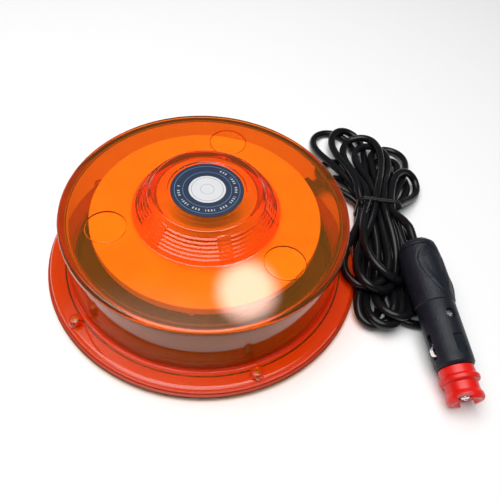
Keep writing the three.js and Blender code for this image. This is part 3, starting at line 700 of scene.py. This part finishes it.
def keep_out(line, radius, tail):
    """Moves points out of the floor, the beacon and the plug."""
    line[:, 2] = np.maximum(line[:, 2], radius)
    flange, wall, ledge = 86.8 + radius + 0.1, 75.2 + radius, 8.6 + radius
    away = np.linalg.norm(line[:, :2], axis=1)
    low = (away < flange) & (line[:, 2] < ledge)
    step_up = low & (line[:, 2] > ledge - 1.2)
    line[step_up, 2] = ledge
    push = low & ~step_up
    line[push, :2] *= (flange / away[push])[:, None]
    high = (away < wall) & ~low
    line[high, :2] *= (wall / away[high])[:, None]
    axis = np.array((PLUG_REAR - PLUG_TIP).normalized())
    offset = line[:-tail] - np.array(PLUG_TIP)
    run = offset @ axis
    across = offset - run[:, None] * axis
    off = np.linalg.norm(across, axis=1)
    needed = plug_reach(run) + radius
    inside = (off < needed) & (run > -2) & (run < 94)
    line[:-tail][inside] += across[inside] * ((needed[inside] - off[inside]) / off[inside])[:, None]


def settle(line, radius, passes):
    """Eases the lead towards how it would lie: even spacing, smooth bends, and resting on itself."""
    held = np.abs(line[:, 1] - WAIST.y) < 1.6
    held &= line[:, 2] < 19.5
    held[:START_HELD] = True
    held[-END_HELD:] = True
    start = line.copy()
    rest = np.linalg.norm(np.diff(line, axis=0), axis=1).mean()
    apart = 2 * radius + 0.05
    span = 6
    least = 2 * LEAST_BEND * math.sin(span * rest / (2 * LEAST_BEND))
    index = np.arange(len(line))
    for step in range(passes):
        if step % 4 == 0:
            square = (line**2).sum(1)
            near = square[:, None] + square[None, :] - 2 * line @ line.T < (apart + 2.0) ** 2
            near &= index[None, :] - index[:, None] > 6
            first, second = np.nonzero(near)
        line[~held, 2] -= 0.08 if step < passes * 0.85 else 0.0
        for reach in (1, 2, 4):
            a, b, c, d, e = (line[k * reach : len(line) - (4 - k) * reach] for k in range(5))
            line[2 * reach : len(line) - 2 * reach] -= (a - 4 * b + 6 * c - 4 * d + e) * 0.045
        line[1:-1] += ((line[:-2] + line[2:]) / 2 - line[1:-1]) * 0.05
        chord = line[span:] - line[:-span]
        away = np.linalg.norm(chord, axis=1)
        short = np.maximum(least - away, 0) / np.maximum(away, 1e-6) * 0.16
        line[span:] += chord * short[:, None]
        line[:-span] -= chord * short[:, None]
        for _ in range(2):
            gap = line[second] - line[first]
            off = np.linalg.norm(gap, axis=1)
            deep = off < apart
            push = gap[deep] * ((apart - off[deep]) / np.maximum(off[deep], 1e-6) * 0.35)[:, None]
            np.add.at(line, second[deep], push)
            np.add.at(line, first[deep], -push)
            keep_out(line, radius, END_HELD + 4)
            for odd in (0, 1):
                a, b = line[odd:-1:2], line[odd + 1 :: 2]
                gap = b - a
                off = np.linalg.norm(gap, axis=1)
                fix = gap * ((off - rest) / off * 0.5)[:, None]
                line[odd:-1:2] += fix
                line[odd + 1 :: 2] -= fix
            line[held] = start[held]
    for _ in range(6):
        between = (line[3 : -END_HELD - 1] + line[5 : 1 - END_HELD]) / 2
        line[4:-END_HELD] += (between - line[4:-END_HELD]) * 0.5
    return line


class FLARE_OT_lead(bpy.types.Operator):
    """Lays the lead out, hanked in its tie, from the strain relief to the plug"""

    bl_idname = "flare.lead"
    bl_label = "Lead"

    def execute(self, context):
        lead = sizes("flare_lead")
        radius = lead.diameter / 2 / MM
        line = smooth_line(lead_points(), SPACING)
        line = settle(line, radius, PASSES)
        made = wire("lead_cord", line * MM, lead.diameter / 2, 5)
        finished(made, "cable_jacket", "beacon", "lead", "lead_hank", "lead_tail")
        self.strain_relief()
        self.tie(lead)
        return {"FINISHED"}

    def strain_relief(self):
        """A tapered boot with rings that let it bend."""
        corners = [
            (0, 66.5, 0), (3.3, 66.5, 0.3), (3.3, GLAND_FACE, 0), (4.4, GLAND_FACE, 0.4),
            (4.4, GLAND_FACE + 1.7, 0.5), (3.9, GLAND_FACE + 1.9, 0.1),
        ]
        rings, first, last = 4, GLAND_FACE + 2.4, GLAND_TIP - 0.9
        for number in range(rings):
            at = first + (last - first) * number / rings
            width = 3.9 - 0.7 * number / rings
            corners += [
                (width, at, 0.2), (width, at + 1.3, 0.25), (width - 0.55, at + 1.5, 0.15),
                (width - 0.6, at + 2.05, 0.15),
            ]
        corners += [(3.1, last + 0.1, 0.2), (3.0, GLAND_TIP, 0.35), (0, GLAND_TIP, 0)]
        shape = moved(spun(rounded(corners, 3), 48), gland_frame())
        finished(new_object("strain_relief", shape), "relief_rubber", "beacon", "cable_gland")

    def tie(self, lead):
        """A covered wire, wound twice round the hank, with its two ends twisted together."""
        thick = lead.tie / MM
        low, high = thick + 0.12, WAIST.z + 3 * ROW_RISE + 2.4 + thick
        half = 12.4 + thick
        corner = 4.0
        loop = []
        for turn_number in range(2):
            aside = (turn_number - 0.5) * 2.2 * thick
            for across, up, first in ((1, 1, 0), (-1, 1, 90), (-1, -1, 180), (1, -1, 270)):
                for step in range(7):
                    angle = math.radians(first + step * 15)
                    x = WAIST.x + across * (half - corner) + corner * math.cos(angle)
                    z = (high - corner if up > 0 else low + corner) + corner * math.sin(angle)
                    loop.append((x, WAIST.y + aside, z))
        start = (WAIST.x - 3.0, WAIST.y - 1.2, high + 0.3)
        end = (WAIST.x - 6.0, WAIST.y + 1.4, high + 0.3)
        band = smooth_line(np.array([start, *loop, end]), 0.8)
        finished(wire("hank_tie_band", band * MM, lead.tie, 3), "tie_wire", "beacon", "hank_tie")
        ahead = np.linspace(0, 1, 60)
        for number in range(2):
            angle = ahead * TURN * 2.5 + number * math.pi
            spread = 0.72 + 1.6 * np.maximum(ahead - 0.72, 0) / 0.28
            x = WAIST.x - 6.0 - 5.0 * ahead + spread * np.cos(angle) * 0.9
            y = WAIST.y - 1.0 - 19.0 * ahead
            z = high + 0.6 - 4.4 * ahead**2 + spread * np.sin(angle) * 0.9
            twist = np.column_stack([x, y, z]) * MM
            end_name = f"hank_tie_end_{number + 1}"
            finished(wire(end_name, twist, lead.tie, 3), "tie_wire", "beacon")


# ---------------------------------------------------------------- cover
class FLARE_OT_cover(bpy.types.Operator):
    """Moulds the amber cover: flange, wall, rolled rim, flat top and stepped hub"""

    bl_idname = "flare.cover"
    bl_label = "Cover"

    def execute(self, context):
        c = sizes("flare_cover")
        cover = new_object("cover_moulding", spun(rounded(self.profile(c), 5), ROUND))
        hub_webs = [self.web(c, at) for _, _, at in circle(WEB_COUNT, 0, WEB_ANGLE)]
        bosses = [self.boss(c, place) for place in circle(5, c.boss_circle / MM, SCREW_ANGLE)]
        carve(cover, [*hub_webs, *bosses], "UNION")
        top = c.top / MM
        edge = c.recess / MM
        cutter = rounded([
            (0, top - 0.4, 0), (edge - 0.6, top - 0.4, 0.1), (edge - 0.35, top - 0.95, 0.1),
            (edge - 0.1, top - 0.95, 0.1), (edge + 0.1, top + 1, 0), (0, top + 1, 0),
        ], 2)
        recesses = [
            moved(spun(cutter, 72), shift(x, y))
            for x, y, _ in circle(3, c.recess_circle / MM, RECESS_ANGLE)
        ]
        holes = [
            rod(1.7, 1.0, c.flange_top / MM + 3.0, place, SMALL)
            for place in circle(5, c.boss_circle / MM, SCREW_ANGLE)
        ]
        notch = moved(block((65.7, -6.3, 1.0), (95.0, 6.3, 13.6), 0.4), spin_by(GLAND_ANGLE))
        carve(cover, [*recesses, *holes, notch])
        finished(cover, "amber_lens", "beacon", "lens_cover", sharp=38.0)
        cover.data.materials.append(MATERIALS["amber_frost"])
        for face in cover.data.polygons:
            middle = face.center
            under = middle.z < (c.base_top + 0.3 * MM) and face.normal.z < -0.6
            inside = math.hypot(middle.x, middle.y) < c.flange - 0.5 * MM and middle.z < c.base_top
            face.material_index = 1 if under or inside else 0
        return {"FINISHED"}

    def profile(self, c):
        flange, wall, rim, top = c.flange / MM, c.wall / MM, c.rim / MM, c.top / MM
        hub, shoulder, hub_top = c.hub / MM, c.shoulder / MM, c.hub_top / MM
        ledge, thick, base = c.flange_top / MM, c.thickness / MM, c.base_top / MM
        seat, low = hub_top - 0.5, PAD_HIGH.z / MM
        corners = [
            (flange - 2.3, low, 0.2), (flange, low, 0.4), (flange, low + 2.2, 0.6),
            (flange - 1.5, low + 2.75, 0.35), (flange - 1.75, ledge - 1.6, 0.3),
            (flange - 2.4, ledge - 0.55, 0.5), (flange - 3.4, ledge - 0.15, 0.4),
            (flange - 4.2, ledge, 0.6), (wall + 1.0, ledge, 0.9), (wall, ledge + 1.2, 0.9),
            (wall, top - 4.6, 0.4), (rim, top - 4.1, 0.4), (rim, top, 3.6),
            (hub + 1.1, top, 0.8), (hub, top + 1.1, 0.3),
        ]
        steps = 6
        rise, run = (hub_top - top - 3.2) / steps, (hub - shoulder - 1.3) / steps
        for step in range(steps):
            radius, height = hub - step * run, top + 1.1 + step * rise
            above = height + rise
            corners += [(radius - 0.1, above - 0.5, 0.45), (radius - run, above - 0.1, 0.25)]
        corners += [
            (shoulder + 0.9, hub_top - 1.7, 0.5), (shoulder - 0.9, hub_top, 0.9),
            (20.1, hub_top, 0.4), (19.5, seat, 0.15), (0, seat, 0), (0, seat - thick, 0),
            (shoulder - thick - 1.0, seat - thick, 2.0), (hub - thick + 0.6, top - thick, 1.2),
            (wall - thick, top - thick, 2.4), (wall - thick, base, 0.1), (flange - 2.3, base, 0.1),
        ]
        return corners

    def web(self, c, angle):
        """A smooth pad that bridges the hub's steps."""
        hub, shoulder = c.hub / MM, c.shoulder / MM
        foot, top = c.top / MM + 0.3, c.hub_top / MM - 1.6
        outline = [(hub - 4, foot), (hub + 0.9, foot), (shoulder + 1.5, top), (shoulder - 3, top)]
        shape = softened(prism(outline, -3.5, 3.5), 0.35)
        return moved(shape, spin_by(angle) @ Matrix.Rotation(math.pi / 2, 4, "X"))

    def boss(self, c, place):
        top = c.flange_top / MM + 4.2
        radius = c.boss / MM
        corners = [(0, 5.8, 0), (radius, 5.8, 0), (radius, top, 2.3), (0, top, 0)]
        shape = spun(rounded(corners, 6), 40)
        return moved(shape, shift(place[0], place[1]))


class FLARE_OT_label(bpy.types.Operator):
    """Lays the printed disc in the hub's seat"""

    bl_idname = "flare.label"
    bl_label = "Label"

    def execute(self, context):
        radius = sizes("flare_cover").label / MM
        low, high = (corner.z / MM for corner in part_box("hub_label"))
        corners = [(0, low, 0), (radius, low, 0), (radius, high, 0.12), (0, high, 0)]
        disc = new_object("label_disc", spun(rounded(corners, 3), 96))
        finished(disc, "label_print", "beacon", "hub_label")
        return {"FINISHED"}


# ---------------------------------------------------------------- base
class FLARE_OT_base(bpy.types.Operator):
    """Makes the base, its foot pad and its seal, and finishes the magnets"""

    bl_idname = "flare.base"
    bl_label = "Base"

    def execute(self, context):
        c = sizes("flare_cover")
        self.plate(c)
        self.foot(c)
        low, high = (corner.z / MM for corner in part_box("lens_gasket"))
        seal = new_object("seal_ring", spun(rounded(
            [(75.9, low, 0.5), (77.7, low, 0.5), (77.7, high, 0.5), (75.9, high, 0.5)], 4), ROUND))
        carve(seal, [moved(block((60, -6.3, 0), (95, 6.3, 20)), spin_by(GLAND_ANGLE))])
        finished(seal, "seal_rubber", "beacon", "lens_gasket")
        for number in (1, 2, 3):
            finish_node(f"magnet_{number}", "ferrite")
            finish_node(f"magnet_keeper_{number}", "keeper_steel")
        return {"FINISHED"}

    def plate(self, c):
        low, top = BASE_LOW.z / MM, c.base_top / MM - 0.08
        inner = (c.wall - c.thickness) / MM - 0.3
        edge = c.flange / MM - 2.6
        base = new_object("base_moulding", spun(rounded([
            (0, low, 0), (edge, low, 0.2), (edge, top, 0.3), (78.0, top, 0.1), (78.0, top - 2.2, 0.1),
            (75.6, top - 2.2, 0.1), (75.6, top, 0.1), (inner, top, 0.1), (inner, top + 6.5, 0.5),
            (inner - 2, top + 6.5, 0.5), (inner - 2, top, 0.6), (0, top, 0),
        ], 3), ROUND))
        pocket = low + 6.6 + 1.5 + 0.3
        magnets = circle(3, MAGNET_CIRCLE, MAGNET_ANGLE)
        posts = circle(3, POST_CIRCLE, GLAND_ANGLE)
        sink_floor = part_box("heat_sink")[0].z / MM
        housing = moved(block((66, -6, low), (86.2, 6, 13.3), 0.5), spin_by(GLAND_ANGLE))
        cups = []
        for x, y, _ in magnets:
            corners = [(0, low, 0), (19.6, low, 0), (19.6, pocket + 1.5, 1.2), (0, pocket + 1.5, 0)]
            cups.append(moved(spun(rounded(corners, 4)), shift(x, y)))
        stands = [rod(4.5, low, sink_floor, place, 36) for place in posts]
        carve(base, [*cups, *stands, housing], "UNION", crossing=True)
        screws = circle(5, c.boss_circle / MM, SCREW_ANGLE)
        bore = moved(rod(3.6, 65, 88, (0, 0), 40), gland_frame())
        carve(base, [
            *[rod(18.1, low - 1, pocket, place) for place in magnets],
            *[rod(1.7, low - 1, top + 2, place, SMALL) for place in screws],
            *[rod(2.9, low - 1, low + 1.6, place, SMALL) for place in screws],
            *[rod(1.5, top, sink_floor + 1, place, SMALL) for place in posts],
            bore,
        ], crossing=True)
        finished(base, "black_plastic", "beacon", "base_plate")

    def foot(self, c):
        """The pad has shallow rings underneath, which grip."""
        radius, high = c.pad / MM, PAD_HIGH.z / MM
        corners = [(0, high, 0), (0, 0, 0)]
        rings = 9
        for number in range(rings):
            at = 12.0 + number * 8.0
            corners += [(at, 0, 0.1), (at + 0.25, 0.35, 0.1), (at + 0.95, 0.35, 0.1), (at + 1.2, 0, 0.1)]
        corners += [(radius, 0, 0.5), (radius, high, 0.15)]
        pad = new_object("foot_sheet", spun(rounded(corners, 3), ROUND))
        finished(pad, "foot_rubber", "beacon", "foot_pad")


# ---------------------------------------------------------------- works inside the cover
class FLARE_OT_works(bpy.types.Operator):
    """Makes the white disc and the LED boards, and finishes the heat sink and its driver"""

    bl_idname = "flare.works"
    bl_label = "Works"

    def execute(self, context):
        c = sizes("flare_cover")
        low, high = (corner.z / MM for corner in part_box("reflector_disc"))
        radius, skirt = c.disc / MM, 3.0
        disc = new_object("reflector_moulding", spun(rounded([
            (0, low + skirt, 0), (radius - 1.8, low + skirt, 0.3), (radius - 1.8, low, 0.2),
            (radius, low, 0.2), (radius, high, 0.6), (0, high, 0),
        ], 4), ROUND))
        seam = block((43, -0.2, high - 0.5), (radius + 1, 0.2, high + 1))
        carve(disc, [moved(seam, spin_by(math.radians(107)))])
        finished(disc, "reflector_white", "beacon", "reflector_disc")
        for number in range(6):
            self.led_board(number)
        finish_node("heat_sink", "sink_aluminium")
        finish_node("driver_board", "circuit_board")
        finish_node("choke", "ferrite")
        finish_node("capacitor", "capacitor_can")
        finish_node("driver_chip", "chip_epoxy")
        finish_node("inner_lead", "cable_jacket")
        return {"FINISHED"}

    def led_board(self, number):
        """A board with three LEDs, each with its package, dome and two joints."""
        node = f"led_board_{number + 1}"
        angle = GLAND_ANGLE + math.radians(30 + 60 * number)
        middle = middle_of(node)
        height = (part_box(node)[1].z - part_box(node)[0].z) / MM / 2
        stand = Matrix.Translation((0, 0, middle.z)) @ spin_by(angle) @ shift(LED_REACH, 0)
        board = [block((0, -22, -height), (1.6, 22, height), 0.15, 2)]
        for place in (-14.0, 0.0, 14.0):
            board.append(block((1.6, place - 2.5, -2.5), (2.8, place + 2.5, 2.5), 0.2, 2))
            board += [block((1.6, place + side - 0.7, -1.6), (2.0, place + side + 0.7, 1.6), 0.1, 1)
                      for side in (-3.4, 3.4)]
        made = new_object(f"led_strip_{number + 1}", moved(gathered(board), stand))
        finished(made, "led_board", "beacon", node)
        domes = []
        for place in (-14.0, 0.0, 14.0):
            corners = [(0, 2.7, 0), (1.9, 2.7, 0), (1.9, 4.55, 1.4), (0, 4.55, 0)]
            dome = moved(spun(rounded(corners, 5), SMALL), Matrix.Rotation(math.pi / 2, 4, "Y"))
            domes.append(moved(dome, shift(0, place)))
        lit = new_object(f"led_domes_{number + 1}", moved(gathered(domes), stand))
        # the domes take the board's finish first, then a finish of their own
        finished(lit, "led_board", "beacon")
        lit.data.materials.clear()
        lit.data.materials.append(MATERIALS["led_dome"])


# ---------------------------------------------------------------- screws
class FLARE_OT_screws(bpy.types.Operator):
    """Turns every screw: domed head, cross recess, threaded shank and point"""

    bl_idname = "flare.screws"
    bl_label = "Screws"

    def execute(self, context):
        c = sizes("flare_cover")
        pad_top = PAD_HIGH.z / MM
        for number, (x, y, angle) in enumerate(circle(5, c.boss_circle / MM, SCREW_ANGLE)):
            node = f"cover_screw_{number + 1}"
            stand = Matrix.Translation(Vector((x, y, pad_top)) * MM) @ spin_by(angle)
            self.screw(node, stand, 1.4, 2.6, 1.6)
        over = Matrix.Rotation(math.pi, 4, "X")
        for kind, reach, first in (
            ("heat_sink_screw", POST_CIRCLE, GLAND_ANGLE), ("board_screw", BOARD_CIRCLE, MAGNET_ANGLE),
        ):
            for number, (x, y, _) in enumerate(circle(3, reach, first)):
                node = f"{kind}_{number + 1}"
                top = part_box(node)[1].z
                self.screw(node, Matrix.Translation((x * MM, y * MM, top)) @ over, 1.2, 2.4, 1.8)
        sideways = shift(8.8, 0, PLUG_SCREW) @ Matrix.Rotation(-math.pi / 2, 4, "Y")
        self.screw("plug_screw", plug_frame() @ sideways, 1.2, 2.4, 1.8, 14.0)
        return {"FINISHED"}

    def screw(self, node, stand, shank, head, head_height, long=None):
        low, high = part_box(node)
        long = long or (high.z - low.z) / MM
        corners = [(0, 0, 0), (head, 0, 0.5), (head, head_height, 0.15), (shank, head_height, 0)]
        threads = int((long - head_height - 1.2) / 0.8)
        for number in range(threads):
            at = head_height + 0.5 + number * 0.8
            corners += [(shank, at, 0), (shank, at + 0.12, 0), (shank - 0.22, at + 0.4, 0)]
        corners += [(shank - 0.3, long - 0.6, 0), (0.3, long, 0), (0, long, 0)]
        made = new_object(f"{node}_turned", spun(rounded(corners, 3), SMALL))
        wide, narrow = head * 0.58, head * 0.15
        for across, along in ((wide, narrow), (narrow, wide)):
            carve(made, [block((-across, -along, -1), (across, along, 1))])
        put_in(made, stand)
        finished(made, "screw_steel", "beacon", node)


# ---------------------------------------------------------------- plug
def teardrop(run):
    """Half the thumb rest's width, in radians, at distances from the plug's tip."""
    tip, full, end = 54.6, 74.5, 84.6
    rising = np.sin(np.clip((run - tip) / (full - tip), 0, 1) * math.pi / 2) ** 1.15
    falling = np.sqrt(np.clip(1 - np.clip((run - full) / (end - full), 0, 1) ** 2, 0, 1))
    return 0.80 * np.minimum(rising, falling) * (run > tip) * (run < end)


class FLARE_OT_plug(bpy.types.Operator):
    """Makes the plug's two shells, its rear cap and the nose sleeve inside them"""

    bl_idname = "flare.plug"
    bl_label = "Plug"

    def execute(self, context):
        p = sizes("flare_plug")
        shells = self.shells(p)
        for side, name in ((1, "plug_shell_top"), (-1, "plug_shell_bottom")):
            half = bpy.data.objects.new(name.replace("shell", "half"), shells.data.copy())
            bpy.context.collection.objects.link(half)
            inner = (0.15, 30.0) if side > 0 else (-30.0, -0.15)
            carve(half, [block((inner[0], -30, 0), (inner[1], 30, 120))], "INTERSECT")
            put_in(half, plug_frame())
            finished(half, "plug_shell", "beacon", name, sharp=28.0)
        bpy.data.meshes.remove(shells.data)
        self.rear_cap(p)
        sleeve = new_object("nose_tube", moved(spun(rounded([
            (2.7, 4.2, 0.2), (5.6, 4.2, 0.4), (6.0, 5.2, 0.3), (6.0, 19.5, 0), (7.4, 19.5, 0.1),
            (7.4, 21.5, 0.1), (6.0, 21.5, 0), (6.0, 38.6, 0.2), (1.0, 38.6, 0), (1.0, 37.4, 0),
            (3.4, 37.4, 0), (3.4, 5.2, 0), (2.7, 5.2, 0),
        ], 3)), plug_frame()))
        finished(sleeve, "black_plastic", "beacon", "nose_sleeve")
        return {"FINISHED"}

    def shells(self, p):
        barrel, barrel_end, grip, grip_end = p.barrel / MM, p.barrel_end / MM, p.grip / MM, p.grip_end / MM
        start = p.adapter / MM + 0.3
        outline = rounded([
            (6.3, start, 0), (barrel - 0.9, start, 0.5), (barrel, start + 1.4, 0.7),
            (barrel, barrel_end - 0.25, 0.2),
            (grip - 0.75, barrel_end + 0.15, 0.4), (grip, barrel_end + 12, 10.0),
            (grip - 0.1, grip_end - 9, 8.0), (grip - 0.95, grip_end, 0.3), (2.7, grip_end, 0),
            (2.7, grip_end - 1.6, 0), (8.3, grip_end - 3, 0), (8.3, 22.9, 0), (6.3, 22.9, 0),
            (6.3, 21.8, 0), (7.7, 21.8, 0), (7.7, 19.2, 0), (6.3, 19.2, 0),
        ], 6)
        outer = []
        for a, b in zip(outline, outline[1:] + outline[:1]):
            parts = max(1, int((b - a).length / 0.7)) if min(a[0], b[0]) > barrel - 0.2 and a[1] > 52 else 1
            outer += [a.lerp(b, number / parts) for number in range(parts)]
        shape = spun(outer, 144)
        self.thumb_rests(shape, barrel)
        body = new_object("plug_shells", shape)
        hull = 8.3
        turned = Matrix.Rotation(math.pi / 2, 4, "Y")
        at_screw = shift(0, 0, PLUG_SCREW) @ turned
        carve(body, [moved(rod(3.4, -hull - 0.5, hull + 0.5, (0, 0), 36), at_screw)], "UNION")
        carve(body, [
            block((-1.5, -20, 22.0), (1.5, 20, 35.2), 0.3),
            block((barrel - 0.9, -2.9, 24.6), (20, 2.9, 32.4), 0.2),
            moved(rod(2.9, (barrel - 0.9), 20, (-24.6, 0), 36), turned),
            moved(rod(1.5, -hull, 20, (0, 0), SMALL), at_screw),
            moved(rod(2.7, hull - 1.6, 20, (0, 0), 40), at_screw),
        ], crossing=True)
        return body

    def thumb_rests(self, shape, barrel):
        """Presses a hollow teardrop, with a thin groove round it, into each side of the grip."""
        for vert in shape.verts:
            x, y, run = (value / MM for value in vert.co)
            out = math.hypot(x, y)
            if out < barrel - 0.2 or run < 52.5:
                continue
            angle = min(abs(math.atan2(y, x)), abs(math.pi - abs(math.atan2(y, x))))
            width = float(teardrop(np.array(run)))
            if width <= 0:
                continue
            edge = (width - angle) * out
            hollow = 0.55 * min(max(edge / 4.0, 0.0), 1.0) ** 1.5
            groove = 0.42 * math.exp(-((edge / 0.34) ** 2))
            vert.co.xy *= (out - hollow - groove) / out

    def rear_cap(self, p):
        low, high, grip = (p.grip_end / MM) + 0.3, p.whole / MM, p.grip / MM
        cap = new_object("plug_end_cap", moved(spun(rounded([
            (2.7, low, 0), (grip - 1.1, low, 0.3), (grip - 1.5, low + 2.2, 1.6),
            (grip - 4.0, high - 1.3, 2.2), (grip - 7.4, high, 0.9), (2.5, high, 0.2),
        ], 6)), plug_frame()))
        finished(cap, "plug_shell", "beacon", "plug_rear_cap")


class FLARE_OT_contacts(bpy.types.Operator):
    """Makes the sprung tip and the two side contacts, and finishes the fuse and its spring"""

    bl_idname = "flare.contacts"
    bl_label = "Contacts"

    def execute(self, context):
        tip = new_object("tip_pin", moved(spun(rounded([
            (0, 1.2, 0), (0.7, 1.2, 0.3), (1.0, 1.7, 0.2), (2.4, 2.3, 0.7), (2.4, 5.5, 0), (3.1, 5.5, 0.1),
            (3.1, 6.7, 0.1), (0, 6.7, 0),
        ], 4), 48), plug_frame()))
        finished(tip, "contact_metal", "tip", "tip_contact")
        finish_node("fuse", "fuse_glass")
        finish_node("tip_spring", "spring_steel")
        for name, side in (("right", 1), ("left", -1)):
            leaf = self.leaf(side)
            made = new_object(f"{name}_contact_leaf", leaf)
            finished(made, "contact_metal", f"side_contact_{name}", f"side_contact_{name}")
        return {"FINISHED"}

    def leaf(self, side):
        """A sprung leaf, bent outwards, with a broad nose."""
        back = [(7.8, 38.2), (7.8, 34.2), (9.7, 29.2), (11.3, 27.0), (11.1, 24.6), (8.2, 22.6)]
        outline = [*back, *[(out - 0.5, along) for out, along in reversed(back)]]
        shape = softened(prism(outline, -1.2, 1.2), 0.1)
        stand = Matrix(((0, 0, side, 0), (side, 0, 0, 0), (0, 1, 0, 0), (0, 0, 0, 1)))
        return moved(shape, plug_frame() @ stand)


class FLARE_OT_adapter(bpy.types.Operator):
    """Makes the red adapter that is pushed over the plug's nose"""

    bl_idname = "flare.adapter"
    bl_label = "Adapter"

    def execute(self, context):
        p = sizes("flare_plug")
        barrel, end = p.barrel / MM, p.adapter / MM
        adapter = new_object("adapter_sleeve", spun(rounded([
            (3.4, 3.9, 0), (3.4, 2.4, 0.3), (barrel - 3.6, 0, 0.3), (barrel - 1.9, 0, 0.9),
            (barrel - 0.9, 1.4, 0.9), (barrel - 1.0, 3.2, 1.0), (barrel - 1.9, 5.2, 0.8),
            (barrel - 1.9, 9.4, 0.6), (barrel - 0.1, 9.9, 1.1), (barrel - 0.1, 12.4, 1.1),
            (barrel - 1.35, 13.0, 0.5), (barrel - 1.35, end, 0.35), (6.3, end, 0.2), (6.3, 3.9, 0),
        ], 6)))
        cut = moved(block((-12, -3.4, -1), (12, 3.4, 2.6), 0.5), spin_by(ADAPTER_SLOT))
        carve(adapter, [cut])
        put_in(adapter, plug_frame())
        finished(adapter, "red_plastic", "adapter", "adapter", sharp=34.0)
        return {"FINISHED"}


# ---------------------------------------------------------------- cord (this step reads the lead's sizes and makes nothing)
class FLARE_OT_cord(bpy.types.Operator):
    bl_idname = "flare.cord"
    bl_label = "Cord"

    def execute(self, context):
        lead = sizes("flare_lead")
        return {"FINISHED"}


# ---------------------------------------------------------------- stage
class FLARE_OT_stage(bpy.types.Operator):
    """Sets the camera, the pale floor and the soft lights"""

    bl_idname = "flare.stage"
    bl_label = "Stage"

    def execute(self, context):
        scene = context.scene
        scene.view_settings.view_transform = "Standard"
        scene.view_settings.look = "None"
        self.camera(scene)
        self.floor()
        self.softbox("overhead_box", (-0.12, -0.08, 1.0), 1.5, 4.7)
        self.softbox("key_lamp", (0.03, 0.60, 1.0), 0.20, 13.0)
        world = bpy.data.worlds.new("studio")
        world.use_nodes = True
        world.node_tree.nodes["Background"].inputs["Color"].default_value = (1.0, 1.0, 1.0, 1.0)
        world.node_tree.nodes["Background"].inputs["Strength"].default_value = 0.12
        scene.world = world
        return {"FINISHED"}

    def camera(self, scene):
        rise, roll = math.radians(51.52), math.radians(7.32)
        target, away = Vector((25.0, 10.9, 0.0)) * MM, 328.0 * MM
        forward = Vector((0, math.cos(rise), -math.sin(rise)))
        upright, level = Vector((0, math.sin(rise), math.cos(rise))), Vector((1, 0, 0))
        right = level * math.cos(roll) + upright * math.sin(roll)
        up = upright * math.cos(roll) - level * math.sin(roll)
        lens = bpy.data.cameras.new("camera")
        lens.sensor_width = 36.0
        lens.lens = 39.82
        lens.clip_start = 0.01
        camera = bpy.data.objects.new("camera", lens)
        turned = Matrix((right, up, -forward)).transposed().to_4x4()
        camera.matrix_world = Matrix.Translation(target - forward * away) @ turned
        bpy.context.collection.objects.link(camera)
        scene.camera = camera

    def floor(self):
        shape = bmesh.new()
        bmesh.ops.create_grid(shape, x_segments=1, y_segments=1, size=4.0)
        floor = new_object("floor", shape)
        made = Shader("floor_paper")
        made.drive("Base Color", made.between(made.noise(3.0), (0.92, 0.92, 0.92), (0.94, 0.94, 0.94)))
        made.set(Roughness=0.7)
        floor.data.materials.append(made.material)

    def softbox(self, name, place, across, glow):
        """A round light that faces the flare and fades towards its edge."""
        light = bpy.data.lights.new(name, "AREA")
        light.shape = "DISK"
        light.size = across
        light.energy = math.pi * (across / 2) ** 2 * math.pi
        light.use_nodes = True
        nodes, links = light.node_tree.nodes, light.node_tree.links
        where = nodes.new("ShaderNodeNewGeometry")
        reach = nodes.new("ShaderNodeVectorMath")
        reach.operation = "DISTANCE"
        reach.inputs[1].default_value = place
        fade = nodes.new("ShaderNodeMapRange")
        fade.interpolation_type = "SMOOTHSTEP"
        fade.inputs["From Min"].default_value = across / 2
        fade.inputs["From Max"].default_value = across / 5
        fade.inputs["To Max"].default_value = glow
        links.new(where.outputs["Position"], reach.inputs[0])
        links.new(reach.outputs["Value"], fade.inputs["Value"])
        links.new(fade.outputs["Result"], nodes["Emission"].inputs["Strength"])
        lamp = bpy.data.objects.new(name, light)
        lamp.location = place
        lamp.rotation_euler = (-Vector(place)).to_track_quat("-Z", "Y").to_euler()
        bpy.context.collection.objects.link(lamp)


class FLARE_PT_panel(bpy.types.Panel):
    """Lists the flare's pieces and sizes"""

    bl_idname = "FLARE_PT_panel"
    bl_label = "LED safety flare"
    bl_space_type = "VIEW_3D"
    bl_region_type = "UI"
    bl_category = "Flare"

    def draw(self, context):
        for operator in OPERATORS:
            self.layout.operator(operator.bl_idname)
        for name, group in GROUPS.items():
            box = self.layout.box()
            for key in group.__annotations__:
                box.prop(getattr(context.scene, name), key)


GROUPS = {
    "flare_cover": FlareCoverSizes,
    "flare_lead": FlareLeadSizes,
    "flare_plug": FlarePlugSizes,
    "flare_colours": FlareColours,
}
OPERATORS = [
    FLARE_OT_stage, FLARE_OT_lead, FLARE_OT_cover, FLARE_OT_label, FLARE_OT_base, FLARE_OT_works,
    FLARE_OT_screws, FLARE_OT_plug, FLARE_OT_contacts, FLARE_OT_adapter, FLARE_OT_cord,
]


def register():
    for item in (*GROUPS.values(), *OPERATORS, FLARE_PT_panel):
        bpy.utils.register_class(item)
    for name, group in GROUPS.items():
        setattr(bpy.types.Scene, name, bpy.props.PointerProperty(type=group))


def unregister():
    for name in GROUPS:
        delattr(bpy.types.Scene, name)
    for item in reversed((*GROUPS.values(), *OPERATORS, FLARE_PT_panel)):
        bpy.utils.unregister_class(item)


def main():
    register()
    MATERIALS.update(make_materials())
    for operator in OPERATORS:
        group, name = operator.bl_idname.split(".")
        getattr(getattr(bpy.ops, group), name)()


if __name__ == "__main__":
    main()
